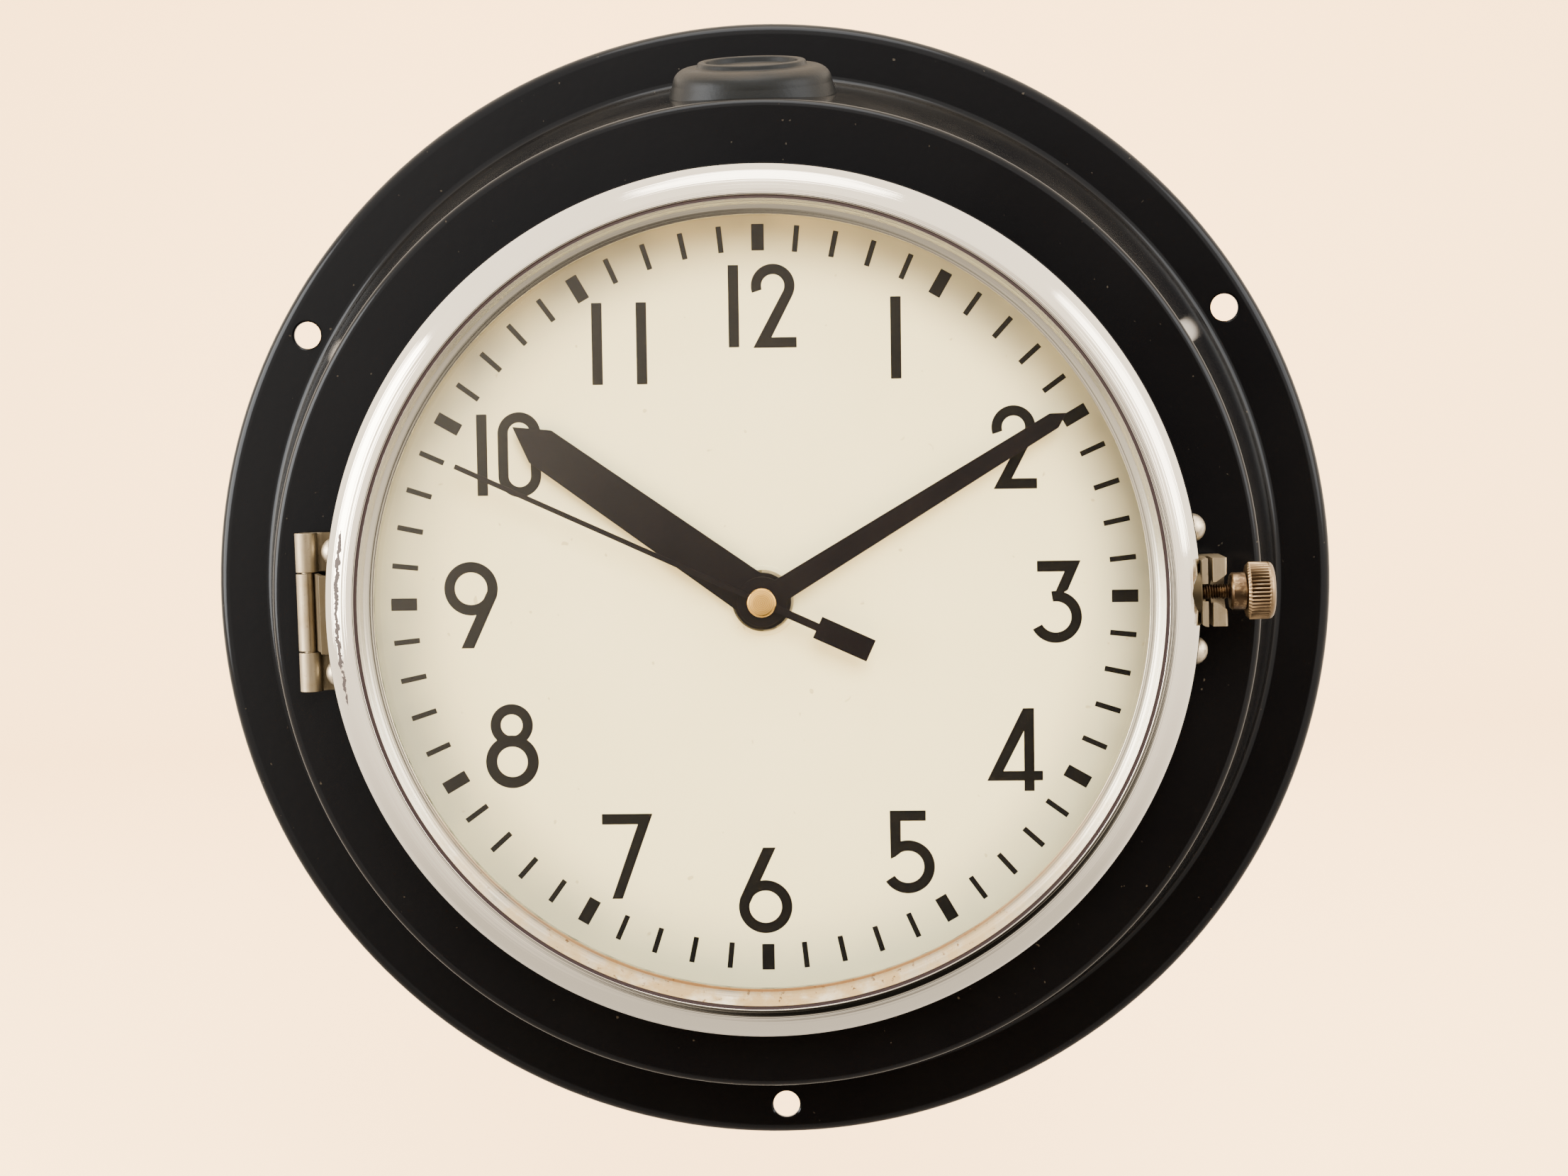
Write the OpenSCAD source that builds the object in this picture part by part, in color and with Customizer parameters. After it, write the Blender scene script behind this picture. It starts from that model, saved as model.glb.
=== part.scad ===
// Bulkhead deck clock: a pressed steel case with a three-hole wall flange, a hinged
// chrome bezel held by a thumbscrew, an ivory dial and a quartz movement.
// Frame: the wall is the plane y = 0, the dial faces -Y, +Z is up. Millimetres.
// Pieces are drawn dial up (x right, y up the dial, z off the wall) and turned by place().

/* [Case shell] */
// Diameter of the wall flange
flange_d = 240; // [225:1:260]
// Distance from the wall to the flange face
flange_h = 5; // [4:0.5:8]
// Width of the flange, from its edge to the foot of the drum
flange_w = 12; // [10:0.5:16]
// Radius of the rolled flange edge
rim_round = 2.5; // [1.8:0.1:3.5]
// Thickness of the pressed sheet
sheet_t = 1.2; // [0.8:0.1:1.5]
// Distance from the wall to the flat front ring
drum_h = 42; // [38:1:50]
// How much the drum's radius shrinks from foot to ridge
drum_taper = 8; // [4:0.5:10]
// Radius of the rounded front ridge
ridge_round = 3; // [2:0.25:4]
// Radius of the hollow corner at the foot of the drum
foot_round = 3; // [1.5:0.25:4]
// Width of the flat front ring, from the ridge to the neck
front_ring_w = 14.7; // [13:0.1:20]
// Height of the neck in front of the front ring
neck_h = 10.6; // [10.2:0.1:14]
// Radius of the hollow corner at the foot of the neck
neck_round = 2; // [1:0.25:2]

/* [Wall holes] */
// Number of wall screws
hole_count = 3; // [3:1:6]
// Diameter of a wall screw hole
hole_d = 5.8; // [4.5:0.1:6.5]
// Distance from the flange edge to the middle of a hole
hole_edge = 6.5; // [5.8:0.1:7]

/* [Cable plug] */
// Diameter of the plug's dome rim
plug_d = 34.5; // [30:0.5:36]
// Height of the dome rim over the drum wall
plug_h = 5; // [4:0.1:7]
// Radius of the dome rim's edge
plug_round = 3.4; // [2:0.1:4]
// Diameter of the raised ring on the dome
plug_ring_d = 21.5; // [20:0.5:25]
// Width of the raised ring
plug_ring_w = 1.8; // [1.5:0.1:4]
// Height of the raised ring over the dome
plug_ring_h = 1.2; // [1:0.1:4]
// Depth of the hollow inside the ring
plug_hollow = 1.6; // [0.8:0.1:2.4]
// Diameter of the cable hole that the plug closes
plug_hole_d = 22; // [18:0.5:23]
// How far the lip behind the sheet overhangs the hole
plug_lip = 1.6; // [1:0.1:2.5]

/* [Bezel] */
// How far the bezel's edge overhangs the neck
bezel_over = 1; // [0.8:0.1:2]
// Radius of the quarter-round bead
bead_r = 6.6; // [5:0.1:7.5]
// Width of the hollow inner slope, from the crest to the opening
cove_w = 3.7; // [3:0.1:5]
// Depth of the inner slope
cove_h = 2.4; // [1.5:0.1:3]
// Height of the straight side below the bead
bezel_side_h = 2.4; // [2:0.1:4]
// Thickness of the lip over the glass
lip_t = 0.6; // [0.5:0.1:1]
// Width of the seat that the lip gives the glass
lip_seat_w = 3.4; // [2.5:0.1:3.6]
// Play between the closed bezel and its gasket
bezel_play = 0.3; // [0.3:0.05:0.6]

/* [Gasket and glass] */
// Thickness of the rubber over the neck's edge
gasket_t = 1.1; // [0.8:0.1:2]
// Thickness of the gasket's side walls
gasket_wall = 1; // [0.7:0.1:1]
// How far the gasket grips the neck
gasket_grip = 1.2; // [0.8:0.1:1.2]
// Thickness of the rubber between glass and lip
seal_t = 0.8; // [0.5:0.1:1]
// Thickness of the glass
glass_t = 2.4; // [2:0.1:2.8]
// Height of the ring that holds the glass
retainer_h = 1.8; // [1.2:0.1:2]
// Width of the ring that holds the glass
retainer_w = 2.6; // [2:0.1:3]

/* [Hinge] */
// Length over all three knuckles
hinge_l = 32; // [28:0.5:36]
// Length of the bezel's middle knuckle
hinge_mid_l = 15.6; // [12:0.2:18]
// Gap between neighbouring knuckles
knuckle_gap = 0.3; // [0.3:0.05:0.6]
// Outside diameter of a knuckle
knuckle_d = 4.6; // [4.2:0.1:5]
// Thickness of the leaves and straps
leaf_t = 1; // [0.8:0.1:1.2]
// Diameter of the hinge pin
pin_d = 2.4; // [2:0.1:2.6]
// Distance from the case leaf to the pin
hinge_reach = 5.4; // [4.8:0.1:6.4]
// Height of a strap on the neck
strap_h = 7; // [6.6:0.1:7.2]
// Distance between the two rivets of a strap
rivet_span = 24.4; // [23:0.2:26]
// Diameter of a rivet's head
rivet_head_d = 5.8; // [4.5:0.1:5.8]
// Height of a rivet's head
rivet_head_h = 2.9; // [1.8:0.1:2.9]
// Diameter of a rivet's shank
rivet_d = 3; // [2:0.1:3.4]

/* [Latch] */
// Width of the lug and of the keeper
latch_w = 13.4; // [12:0.2:15]
// Thickness of the bezel's lug
lug_t = 3.2; // [2.8:0.1:3.6]
// How far the lug stands out past the bezel's edge
lug_stand = 1.5; // [1:0.1:2]
// Height of the lug
lug_h = 5.2; // [4.8:0.1:5.6]
// Diameter of the lug's threaded boss
boss_d = 9.4; // [7:0.1:9.6]
// Length of the boss behind the lug
boss_l = 1.8; // [1.4:0.1:2]
// Thickness of the keeper's prongs
prong_t = 2.9; // [2.5:0.1:4]
// Gap between the lug and the prongs
prong_gap = 0.5; // [0.4:0.1:1]
// Width of the slot between the prongs
slot_w = 4; // [3.8:0.1:4.6]
// Depth of the bevel at the mouth of the slot
slot_bevel = 1.4; // [0.8:0.05:1.5]
// Diameter of the screw's stem
stem_d = 2.9; // [2.5:0.1:3]
// Diameter of the loose sleeve under the head
sleeve_d = 7.4; // [7:0.1:8]
// Length of the loose sleeve
sleeve_l = 3.1; // [2.5:0.1:4]
// Gap between the sleeve and the prongs, with the screw slackened
screw_slack = 0.6; // [0.5:0.05:1]
// Diameter of the knurled head
head_d = 11.2; // [10:0.1:13]
// Length of the knurled head
head_l = 5.3; // [4:0.1:7]
// Number of knurls round the head
knurl_count = 38; // [24:2:48]
// Depth of a knurl
knurl_depth = 0.3; // [0.2:0.05:0.5]

/* [Dial] */
// Distance from the front ring to the dial's face
dial_rise = 5; // [4:0.25:5.5]
// Thickness of the dial
dial_t = 1; // [0.8:0.1:1.5]
// Width of the ring that carries the dial
carrier_w = 7.5; // [6:0.5:9]
// Thickness of the carrier
carrier_t = 1.2; // [1:0.1:1.5]
// Distance from the dial's edge to its screws
dial_screw_edge = 2.4; // [2.1:0.1:3]
// Number of dial screws
dial_screw_count = 4; // [3:1:8]
// Diameter of a dial screw
dial_screw_d = 2.4; // [1.8:0.1:2.6]
// Diameter of a dial screw's head
dial_screw_head_d = 3.8; // [3:0.1:4]
// Height of a dial screw's head
dial_screw_head_h = 1.2; // [0.8:0.1:1.5]

/* [Hands] */
// Distance from the hour hand's tip to the bezel opening
hour_gap = 15.3; // [12:0.1:24]
// Width of the hour hand by its hub
hour_w = 9; // [6:0.1:10]
// Width of the hour hand at its point
hour_tip_w = 7.8; // [5:0.1:8]
// Diameter of the hour hand's hub
hour_hub_d = 11.4; // [10.5:0.1:13]
// Distance from the minute hand's tip to the bezel opening
minute_gap = 5.2; // [4:0.1:10]
// Width of the minute hand by its hub
minute_w = 4.8; // [3.5:0.1:6]
// Width of the minute hand at its point
minute_tip_w = 3.3; // [2.5:0.1:3.4]
// Diameter of the minute hand's hub
minute_hub_d = 10; // [8:0.1:10.4]
// Half angle of the hands' pencil points
point_angle = 30; // [25:1:40]
// Thickness of the hour and minute hands
hand_t = 0.5; // [0.4:0.05:0.6]
// Distance from the second hand's tip to the bezel opening
second_gap = 9.4; // [6:0.1:14]
// Width of the second hand
second_w = 1; // [0.6:0.05:1.4]
// Width of the second hand's tail
tail_w = 1.6; // [1.2:0.1:2.5]
// Distance from the centre to the counterweight
weight_start = 12.1; // [9:0.1:15]
// Length of the counterweight
weight_l = 11.6; // [8:0.1:14]
// Width of the counterweight
weight_w = 4.6; // [3:0.1:5]
// Thickness of the second hand
second_t = 0.3; // [0.2:0.05:0.4]
// Diameter of the brass cap
cap_d = 5.8; // [4:0.1:7]
// Height of the brass cap
cap_h = 1.4; // [1:0.1:1.6]
// Gap between one hand and the next
hand_step = 1.3; // [1:0.1:1.5]
// Hour hand's direction, clockwise from twelve
hour_angle = 306.5; // [0:0.1:360]
// Minute hand's direction, clockwise from twelve
minute_angle = 59.7; // [0:0.1:360]
// Second hand's direction, clockwise from twelve
second_angle = 295.5; // [0:0.1:360]

/* [Movement] */
// Room for a contact between each end of the cell and the housing's wall
contact_room = 2.1; // [1.9:0.1:4]
// Height of the housing above the hand shaft
housing_up = 28; // [27.8:0.1:32]
// Depth of the housing, front to back
housing_h = 14.6; // [14.4:0.1:18]
// Thickness of the housing's side walls
housing_wall = 1.4; // [1.2:0.1:1.5]
// Thickness of the housing's front plate
front_t = 1.6; // [1.4:0.1:1.8]
// Thickness of the rear cover
cover_t = 2; // [1.8:0.1:2.4]
// Corner radius of the housing
housing_round = 4; // [2:0.5:6]
// Thickness of the rubber pad behind the dial
pad_t = 0.4; // [0.3:0.1:0.8]
// Diameter of the threaded bush
bush_d = 9.6; // [8:0.1:10]
// Thickness of the dial washer
washer_t = 0.4; // [0.3:0.1:0.6]
// Diameter of the dial washer
washer_d = 14.1; // [13:0.1:16]
// Diameter of the round dial nut
nut_d = 12.3; // [11.2:0.1:12.8]
// Height of the dial nut
nut_h = 1.5; // [1.2:0.1:2]
// Diameter of the cell
cell_d = 14.2; // [14:0.1:14.5]
// Length of the cell's body
cell_l = 49; // [48:0.5:50]
// Diameter of the setting knob
knob_d = 9; // [7:0.5:11]
// Thickness of the setting knob
knob_h = 3.6; // [2.5:0.1:5]
// Length of setting shaft behind the cover
knob_reach = 4; // [3.8:0.1:6]

/* [Gear train] */
// Thickness of a wheel
wheel_t = 0.8; // [0.6:0.05:1]
// Distance from one wheel to the next along the shafts
level_step = 1.6; // [1.5:0.05:1.7]
// Extra length of a pinion on each side of its wheel
pinion_over = 0.25; // [0.1:0.05:0.3]
// Tooth module of the third wheel and the seconds pinion
train_module = 0.36; // [0.34:0.01:0.38]
// Tooth module of the seconds wheel
drive_module = 0.4; // [0.38:0.01:0.42]
// Tooth module of the rotor pinion
rotor_module = 0.34; // [0.32:0.01:0.36]
// Diameter of the seconds arbor
arbor_d = 1; // [0.8:0.05:1.1]
// Diameter of the minute pipe
minute_pipe_d = 3.2; // [2.8:0.1:3.2]
// Diameter of the hour pipe
hour_pipe_d = 5.1; // [4.6:0.1:5.2]
// Diameter of the fixed posts that the wheels turn on
post_d = 1.6; // [1.2:0.1:1.7]

/* [Fits] */
// Radial play of a turning fit
turn_fit = 0.05; // [0.03:0.01:0.08]
// Play round a loose or seated piece
seat_fit = 0.2; // [0.1:0.05:0.3]

/* [Hidden] */
$fn = 64;
ring_fn = 144;
arc_n = 8;
eps = 0.01;

// Radii and heights of the shell, measured from the dial axis and off the wall
flange_r = flange_d / 2;
foot_r = flange_r - flange_w;
ridge_r = foot_r - drum_taper;
neck_r = ridge_r - front_ring_w;
neck_in_r = neck_r - sheet_t;
neck_z = drum_h + neck_h;
drum_slope = atan(drum_taper / (drum_h - flange_h));
hole_circle_r = flange_r - hole_edge;

// Corner centres of the shell's section
rim_c = [flange_r - rim_round, flange_h - rim_round];
foot_c = [foot_r + foot_round * (1 - sin(drum_slope)) / cos(drum_slope), flange_h + foot_round];
ridge_cz = drum_h - ridge_round;
ridge_c = [foot_r - (ridge_round + (ridge_cz - flange_h) * sin(drum_slope)) / cos(drum_slope), ridge_cz];
neck_c = [neck_r + neck_round, drum_h + neck_round];

// The cable plug sits half way up the drum wall at twelve o'clock
plug_z = (flange_h + drum_h) / 2;
plug_surface_r = (foot_r + ridge_r) / 2;

// Bezel, glass and gasket
gasket_z = neck_z + gasket_t;
bezel_r = neck_r + bezel_over;
bezel_z = gasket_z + bezel_play;
bead_c = [bezel_r - bead_r, bezel_z + bezel_side_h];
crest_z = bead_c[1] + bead_r;
opening_r = bead_c[0] - cove_w;
lip_z = crest_z - cove_h - lip_t;
pocket_r = opening_r + lip_seat_w;
glass_z = lip_z - seal_t - glass_t;
glass_r = pocket_r - seat_fit;

// Straps on the neck, shared by the hinge and the latch
strap_z = drum_h + neck_round + seat_fit;
strap_r = neck_r + leaf_t;
strap_angle = asin(hinge_l / 2 / strap_r);
rivet_angle = asin(rivet_span / 2 / strap_r);
rivet_z = strap_z + strap_h - rivet_head_d / 2 - seat_fit;

// Hinge pin, parallel to the dial's upright at nine o'clock
pin_x = -(strap_r + hinge_reach);
knuckle_r = knuckle_d / 2;
pin_z = strap_z + knuckle_r;

// Latch screw, along the dial's level at three o'clock
screw_z = bezel_z + lug_h / 2;
lug_out = bezel_r + lug_stand;
lug_in = lug_out - lug_t;
boss_in = lug_in - boss_l;
prong_in = lug_out + prong_gap;
prong_out = prong_in + prong_t;
prong_z = screw_z + slot_w / 2 - seat_fit;
sleeve_in = prong_out + screw_slack;
head_in = sleeve_in + sleeve_l + seat_fit / 2;
stem_in = boss_in + screw_slack;

// Dial and its ring
dial_z = drum_h + dial_rise;
dial_back = dial_z - dial_t;
dial_r = neck_in_r - 2 * seat_fit;
dial_screw_r = dial_r - dial_screw_edge;

// Stack at the dial's middle
bush_r = bush_d / 2;
nut_z = dial_z + washer_t;
bush_z = nut_z + nut_h;
hour_z = bush_z + hand_step / 2;
minute_z = hour_z + hand_t + hand_step;
second_z = minute_z + hand_t + hand_step;
hour_l = opening_r - hour_gap;
minute_l = opening_r - minute_gap;
second_l = opening_r - second_gap;

// Movement housing, behind the dial
front_z = dial_back - pad_t;
inside_z = front_z - front_t;
rear_z = front_z - housing_h;
cover_z = rear_z + cover_t;
half_w = cell_l / 2 + contact_room + housing_wall;
hour_bore_r = hour_pipe_d / 2 + turn_fit;

// Tooth counts of the train, slow to fast
hour_teeth = 40;
motion_leaves = 10;
motion_teeth = 36;
cannon_leaves = 12;
minute_teeth = 64;
third_leaves = 8;
third_teeth = 60;
second_leaves = 8;
second_teeth = 40;
inter_leaves = 8;
inter_teeth = 48;
rotor_leaves = 8;
setting_leaves = 12;

// Centre distances, and the modules that follow from a shared distance
third_dist = (third_teeth + second_leaves) * train_module / 2;
minute_module = 2 * third_dist / (minute_teeth + third_leaves);
inter_dist = (second_teeth + inter_leaves) * drive_module / 2;
rotor_dist = (inter_teeth + rotor_leaves) * rotor_module / 2;
motion_dist = (motion_teeth + cannon_leaves) * train_module / 2;
hour_module = 2 * motion_dist / (hour_teeth + motion_leaves);
setting_dist = (motion_teeth + setting_leaves) * train_module / 2;

// Directions of the wheels round the hand shaft, and their places
third_dir = 150;
inter_dir = 40;
rotor_dir = 20;
motion_dir = 90;
setting_dir = 60;
third_at = third_dist * [cos(third_dir), sin(third_dir)];
inter_at = inter_dist * [cos(inter_dir), sin(inter_dir)];
rotor_at = inter_at + rotor_dist * [cos(rotor_dir), sin(rotor_dir)];
motion_at = motion_dist * [cos(motion_dir), sin(motion_dir)];
setting_at = motion_at + setting_dist * [cos(setting_dir), sin(setting_dir)];

// Cell bay below the train, and the motor above it
minute_wheel_r = (minute_teeth / 2 + 1) * minute_module;
rib_y = -(minute_wheel_r + seat_fit + housing_wall);
cell_y = rib_y - seat_fit - cell_d / 2;
bay_y = cell_y - cell_d / 2 - 2 * seat_fit;
housing_down = -bay_y + housing_wall;
cell_z = inside_z - seat_fit - cell_d / 2;
bay_half = half_w - housing_wall;
contact_t = 0.4;
contact_w = 8;
contact_h = 10;
contact_spring_d = 3;
button_d = 5.5;
button_h = 1;
magnet_r = 2.8;
magnet_h = 2;
air_gap = 0.5;
stator_t = 0.8;
stator_w = 2;
stator_z = level(4) + wheel_t + 0.2;
coil_r = 2.4;
coil_y = housing_up - housing_wall - coil_r - seat_fit;
arm_y = third_at[1] + (third_teeth / 2 + 1) * train_module + seat_fit;
stator_reach = 6;
stator_left = third_at[0] - stator_reach;
stator_right = rotor_at[0] + magnet_r + air_gap + stator_w;
stator_gap_x = rotor_at[0] - magnet_r - air_gap - stator_w;
board_t = 0.8;
board_z = inside_z - 3.5;
board_left = minute_wheel_r + 1;
board_bottom = rib_y + 2 * housing_wall;
board_h = 12;
board_edge = 2;
board_post_d = 2.4;
chip_side = 5;
chip_h = 1;
crystal_d = 1.9;
crystal_l = 6;

// Height of the back of the wheel on a level, counted from the dial side
function level(k) = inside_z - 0.6 - wheel_t - k * level_step;

// Points of an arc, anticlockwise when a1 is over a0
function arc(c, r, a0, a1, n = arc_n) =
  [for (i = [0:n]) c + r * [cos(a0 + (a1 - a0) * i / n), sin(a0 + (a1 - a0) * i / n)]];

// Point at a radius and a direction
function polar(r, a) = r * [cos(a), sin(a)];

// Roll of the generating circle that brings a wheel's flank out to radius r
function roll(base, gen, r) =
  acos(min(1, ((base + gen) ^ 2 + gen ^ 2 - r ^ 2) / (2 * (base + gen) * gen))) * gen / base;

// How far an epicycloid flank has leaned over after that roll, in degrees
function lean(base, gen, t) =
  let (p = (base + gen) * [cos(t), sin(t)] - gen * [cos(t * (base + gen) / gen), sin(t * (base + gen) / gen)])
  atan2(p[1], p[0]);

// Outline of a clock wheel: radial roots and epicycloid tips rolled by half a pinion
function wheel_outline(teeth, m, leaves) =
  let (base = teeth * m / 2, gen = leaves * m / 4, half = 360 / teeth * 0.23, tip = 0.9 * m, root = 1.1 * m)
  let (side = [for (i = [0:3]) let (r = base + tip * i / 3) [r, half - lean(base, gen, roll(base, gen, r))]])
  let (flank = concat([[base - root, half]], side))
  [for (k = [0:teeth - 1], s = [-1, 1], i = [0:4]) let (f = flank[s < 0 ? i : 4 - i])
    polar(f[0], 360 / teeth * k + s * f[1])];

// Outline of a pinion: radial leaves with rounded tips
function pinion_outline(leaves, m) =
  let (base = leaves * m / 2, half = 360 / leaves * 0.19)
  let (flank = [[base - 1.35 * m, half], [base, half], [base + 0.35 * m, half * 0.75], [base + 0.6 * m, half * 0.3]])
  [for (k = [0:leaves - 1], s = [-1, 1], i = [0:3]) let (f = flank[s < 0 ? i : 3 - i])
    polar(f[0], 360 / leaves * k + s * f[1])];

// Half of a pencil-pointed hand's outline, mirrored about its length
function hand_outline(l, w, tip_w) =
  let (shoulder = l - tip_w / 2 / tan(point_angle))
  [[-w / 2, 0], [w / 2, 0], [tip_w / 2, shoulder], [0, l], [-tip_w / 2, shoulder]];

// Turns a piece drawn dial up to face -Y
module place() {
  rotate([90, 0, 0]) children();
}

// Lifts a piece to a height off the wall
module lift(z) {
  translate([0, 0, z]) children();
}

// Stands a piece at a place on the dial plane
module stand(p, z = 0) {
  translate([p[0], p[1], z]) children();
}

// Lays an upright piece along +X at the height of the latch screw
module along_screw(x) {
  translate([x, 0, screw_z]) rotate([0, 90, 0]) children();
}

// Turns a piece drawn upright to point outwards at a direction round the dial
module outward(angle, r, z) {
  rotate([0, 0, angle]) translate([r, 0, z]) rotate([0, 90, 0]) children();
}

// Solid of revolution about the dial axis
module turned(points) {
  rotate_extrude($fn = ring_fn) polygon(points);
}

// Flat ring
module ring(outer, inner, h) {
  difference() {
    cylinder(h = h, r = outer, $fn = ring_fn);
    lift(-1) cylinder(h = h + 2, r = inner, $fn = ring_fn);
  }
}

// Toothed wheel with a bore, a tooth pointing along angle
module wheel(teeth, m, leaves, angle, bore_r) {
  difference() {
    rotate([0, 0, angle]) linear_extrude(height = wheel_t) polygon(wheel_outline(teeth, m, leaves));
    lift(-1) cylinder(h = wheel_t + 2, r = bore_r);
  }
}

// Pinion with a bore, a gap pointing along angle
module pinion(leaves, m, angle, bore_r) {
  difference() {
    rotate([0, 0, angle + 180 / leaves]) linear_extrude(height = wheel_t + 2 * pinion_over)
      polygon(pinion_outline(leaves, m));
    lift(-1) cylinder(h = wheel_t + 2 * pinion_over + 2, r = bore_r);
  }
}

// Upright hub that joins a wheel to its pinion on the next level
module hub(r, bore_r, h) {
  difference() {
    cylinder(h = h, r = r);
    lift(-1) cylinder(h = h + 2, r = bore_r);
  }
}

// Domed rivet along +Z, its shank below and its head above
module rivet() {
  dome_r = ((rivet_head_d / 2) ^ 2 + rivet_head_h ^ 2) / (2 * rivet_head_h);
  lift(-sheet_t - leaf_t) cylinder(h = sheet_t + leaf_t + eps, d = rivet_d);
  intersection() {
    lift(rivet_head_h - dome_r) sphere(r = dome_r);
    cylinder(h = rivet_head_h + 1, d = rivet_head_d);
  }
}

// Both rivets of a strap on one side of the neck
module rivet_pair(side) {
  for (a = [-rivet_angle, rivet_angle]) outward(side + a, strap_r, rivet_z) rivet();
}

// Holes for both rivets of a strap
module rivet_holes(side) {
  for (a = [-rivet_angle, rivet_angle]) outward(side + a, neck_in_r - 1, rivet_z)
    cylinder(h = sheet_t + leaf_t + 2, d = rivet_d);
}

// Strap bent round the neck with what stands on it, bored for its rivets
module strap(side) {
  difference() {
    union() {
      lift(strap_z) rotate([0, 0, side - strap_angle]) rotate_extrude(angle = 2 * strap_angle, $fn = ring_fn)
        translate([neck_r - leaf_t, 0]) square([2 * leaf_t, strap_h]);
      children();
    }
    lift(strap_z - 1) cylinder(h = strap_h + 2, r = neck_r, $fn = ring_fn);
    rivet_holes(side);
  }
}

// Outside of the pressed shell, from the wall to the neck's edge
function shell_outside() = concat(
  [[flange_r, 0]],
  arc(rim_c, rim_round, 0, 90),
  arc(foot_c, foot_round, 270, 180 + drum_slope),
  arc(ridge_c, ridge_round, drum_slope, 90),
  arc(neck_c, neck_round, 270, 180),
  [[neck_r, neck_z]]);

// Section of the pressed shell: the outside up, then the inside back down
function shell_section() = concat(
  shell_outside(),
  [[neck_in_r, neck_z]],
  arc(neck_c, neck_round + sheet_t, 180, 270),
  arc(ridge_c, ridge_round - sheet_t, 90, drum_slope),
  arc(foot_c, foot_round + sheet_t, 180 + drum_slope, 270),
  arc(rim_c, rim_round - sheet_t, 90, 0),
  [[flange_r - sheet_t, 0]]);

// Turns a piece drawn upright to stand on the drum wall at twelve o'clock
module on_drum() {
  translate([0, plug_surface_r, plug_z]) rotate([drum_slope - 90, 0, 0]) children();
}

module case_shell() color("#161618") place() difference() {
  turned(shell_section());
  for (i = [0:hole_count - 1]) rotate([0, 0, 270 + 360 / hole_count * i]) translate([hole_circle_r, 0, -1])
    cylinder(h = flange_h + 2, d = hole_d);
  on_drum() lift(-plug_d / 3) cylinder(h = plug_d * 2 / 3, d = plug_hole_d);
  rivet_holes(180);
  rivet_holes(0);
}

// Rubber plug: a dome rim that beds on the drum, a raised ring, a neck and a lip behind the sheet
module cable_plug() color("#2c2d2f") place() {
  rim = plug_d / 2;
  ring_out = plug_ring_d / 2;
  ring_in = ring_out - plug_ring_w;
  top = plug_h + plug_ring_h;
  neck = plug_hole_d / 2 - seat_fit;
  sag = neck ^ 2 / (2 * plug_surface_r) + seat_fit;
  difference() {
    on_drum() turned(concat(
      [[0, -sag - 2 * sheet_t], [rim, -sag - 2 * sheet_t]],
      arc([rim - plug_round, plug_h - plug_round], plug_round, 0, 90),
      [[ring_out + plug_ring_w / 2, plug_h]],
      arc([ring_out - plug_ring_w / 2, top - plug_ring_w / 2], plug_ring_w / 2, 0, 180),
      [[ring_in, top - plug_hollow], [0, top - plug_hollow]]));
    turned(concat([[0, 0]], shell_outside(), [[0, neck_z]]));
  }
  on_drum() lift(-sheet_t - sag - plug_lip) cylinder(h = sheet_t + sag + plug_lip + 1, r = neck);
  on_drum() lift(-sheet_t - sag - plug_lip) cylinder(h = plug_lip, r = neck + plug_lip);
}

// Rubber channel pressed over the neck's edge
module bezel_gasket() color("#26272a") place() difference() {
  lift(neck_z - gasket_grip) ring(neck_r + gasket_wall, neck_in_r - gasket_wall, gasket_grip + gasket_t);
  lift(neck_z - gasket_grip - 1) ring(neck_r, neck_in_r, gasket_grip + 1);
}

// Case leaf: a strap on the neck whose two ends run out to the outer knuckles
module hinge_case_leaf() color("#b9ac95") place() {
  end_l = (hinge_l - hinge_mid_l) / 2 - knuckle_gap;
  difference() {
    strap(180) for (s = [-1, 1]) translate([0, s * (hinge_l - end_l) / 2, 0]) {
      translate([pin_x, end_l / 2, pin_z]) rotate([90, 0, 0]) cylinder(h = end_l, r = knuckle_r);
      translate([pin_x, -end_l / 2, strap_z]) cube([-pin_x - neck_r, end_l, leaf_t]);
    }
    translate([pin_x, hinge_l, pin_z]) rotate([90, 0, 0]) cylinder(h = 2 * hinge_l, d = pin_d);
  }
}

module hinge_case_rivets() color("#d8d2c4") place() rivet_pair(180);

module hinge_pin() color("#c9bea8") place()
  translate([pin_x, hinge_l / 2, pin_z]) rotate([90, 0, 0]) cylinder(h = hinge_l, d = pin_d);

// Bezel leaf: the middle knuckle, a plate that leans in past the gasket, and a pad soldered to the bezel's side
module hinge_bezel_leaf() color("#b9ac95") place() difference() {
  rise = bezel_z - pin_z;
  lean = -pin_x - bezel_r - bezel_play;
  translate([pin_x, hinge_mid_l / 2, pin_z]) rotate([90, 0, 0]) linear_extrude(height = hinge_mid_l) union() {
    circle(r = knuckle_r);
    polygon([[knuckle_r - leaf_t, 0], [knuckle_r, 0], [lean, rise], [lean, rise + leaf_t], [lean - leaf_t, rise]]);
    translate([lean - leaf_t, rise]) square([-pin_x - lean, bezel_side_h]);
  }
  translate([pin_x, hinge_l, pin_z]) rotate([90, 0, 0]) cylinder(h = 2 * hinge_l, r = pin_d / 2 + turn_fit);
  lift(bezel_z - 1) cylinder(h = crest_z, r = bezel_r, $fn = ring_fn);
}

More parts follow.
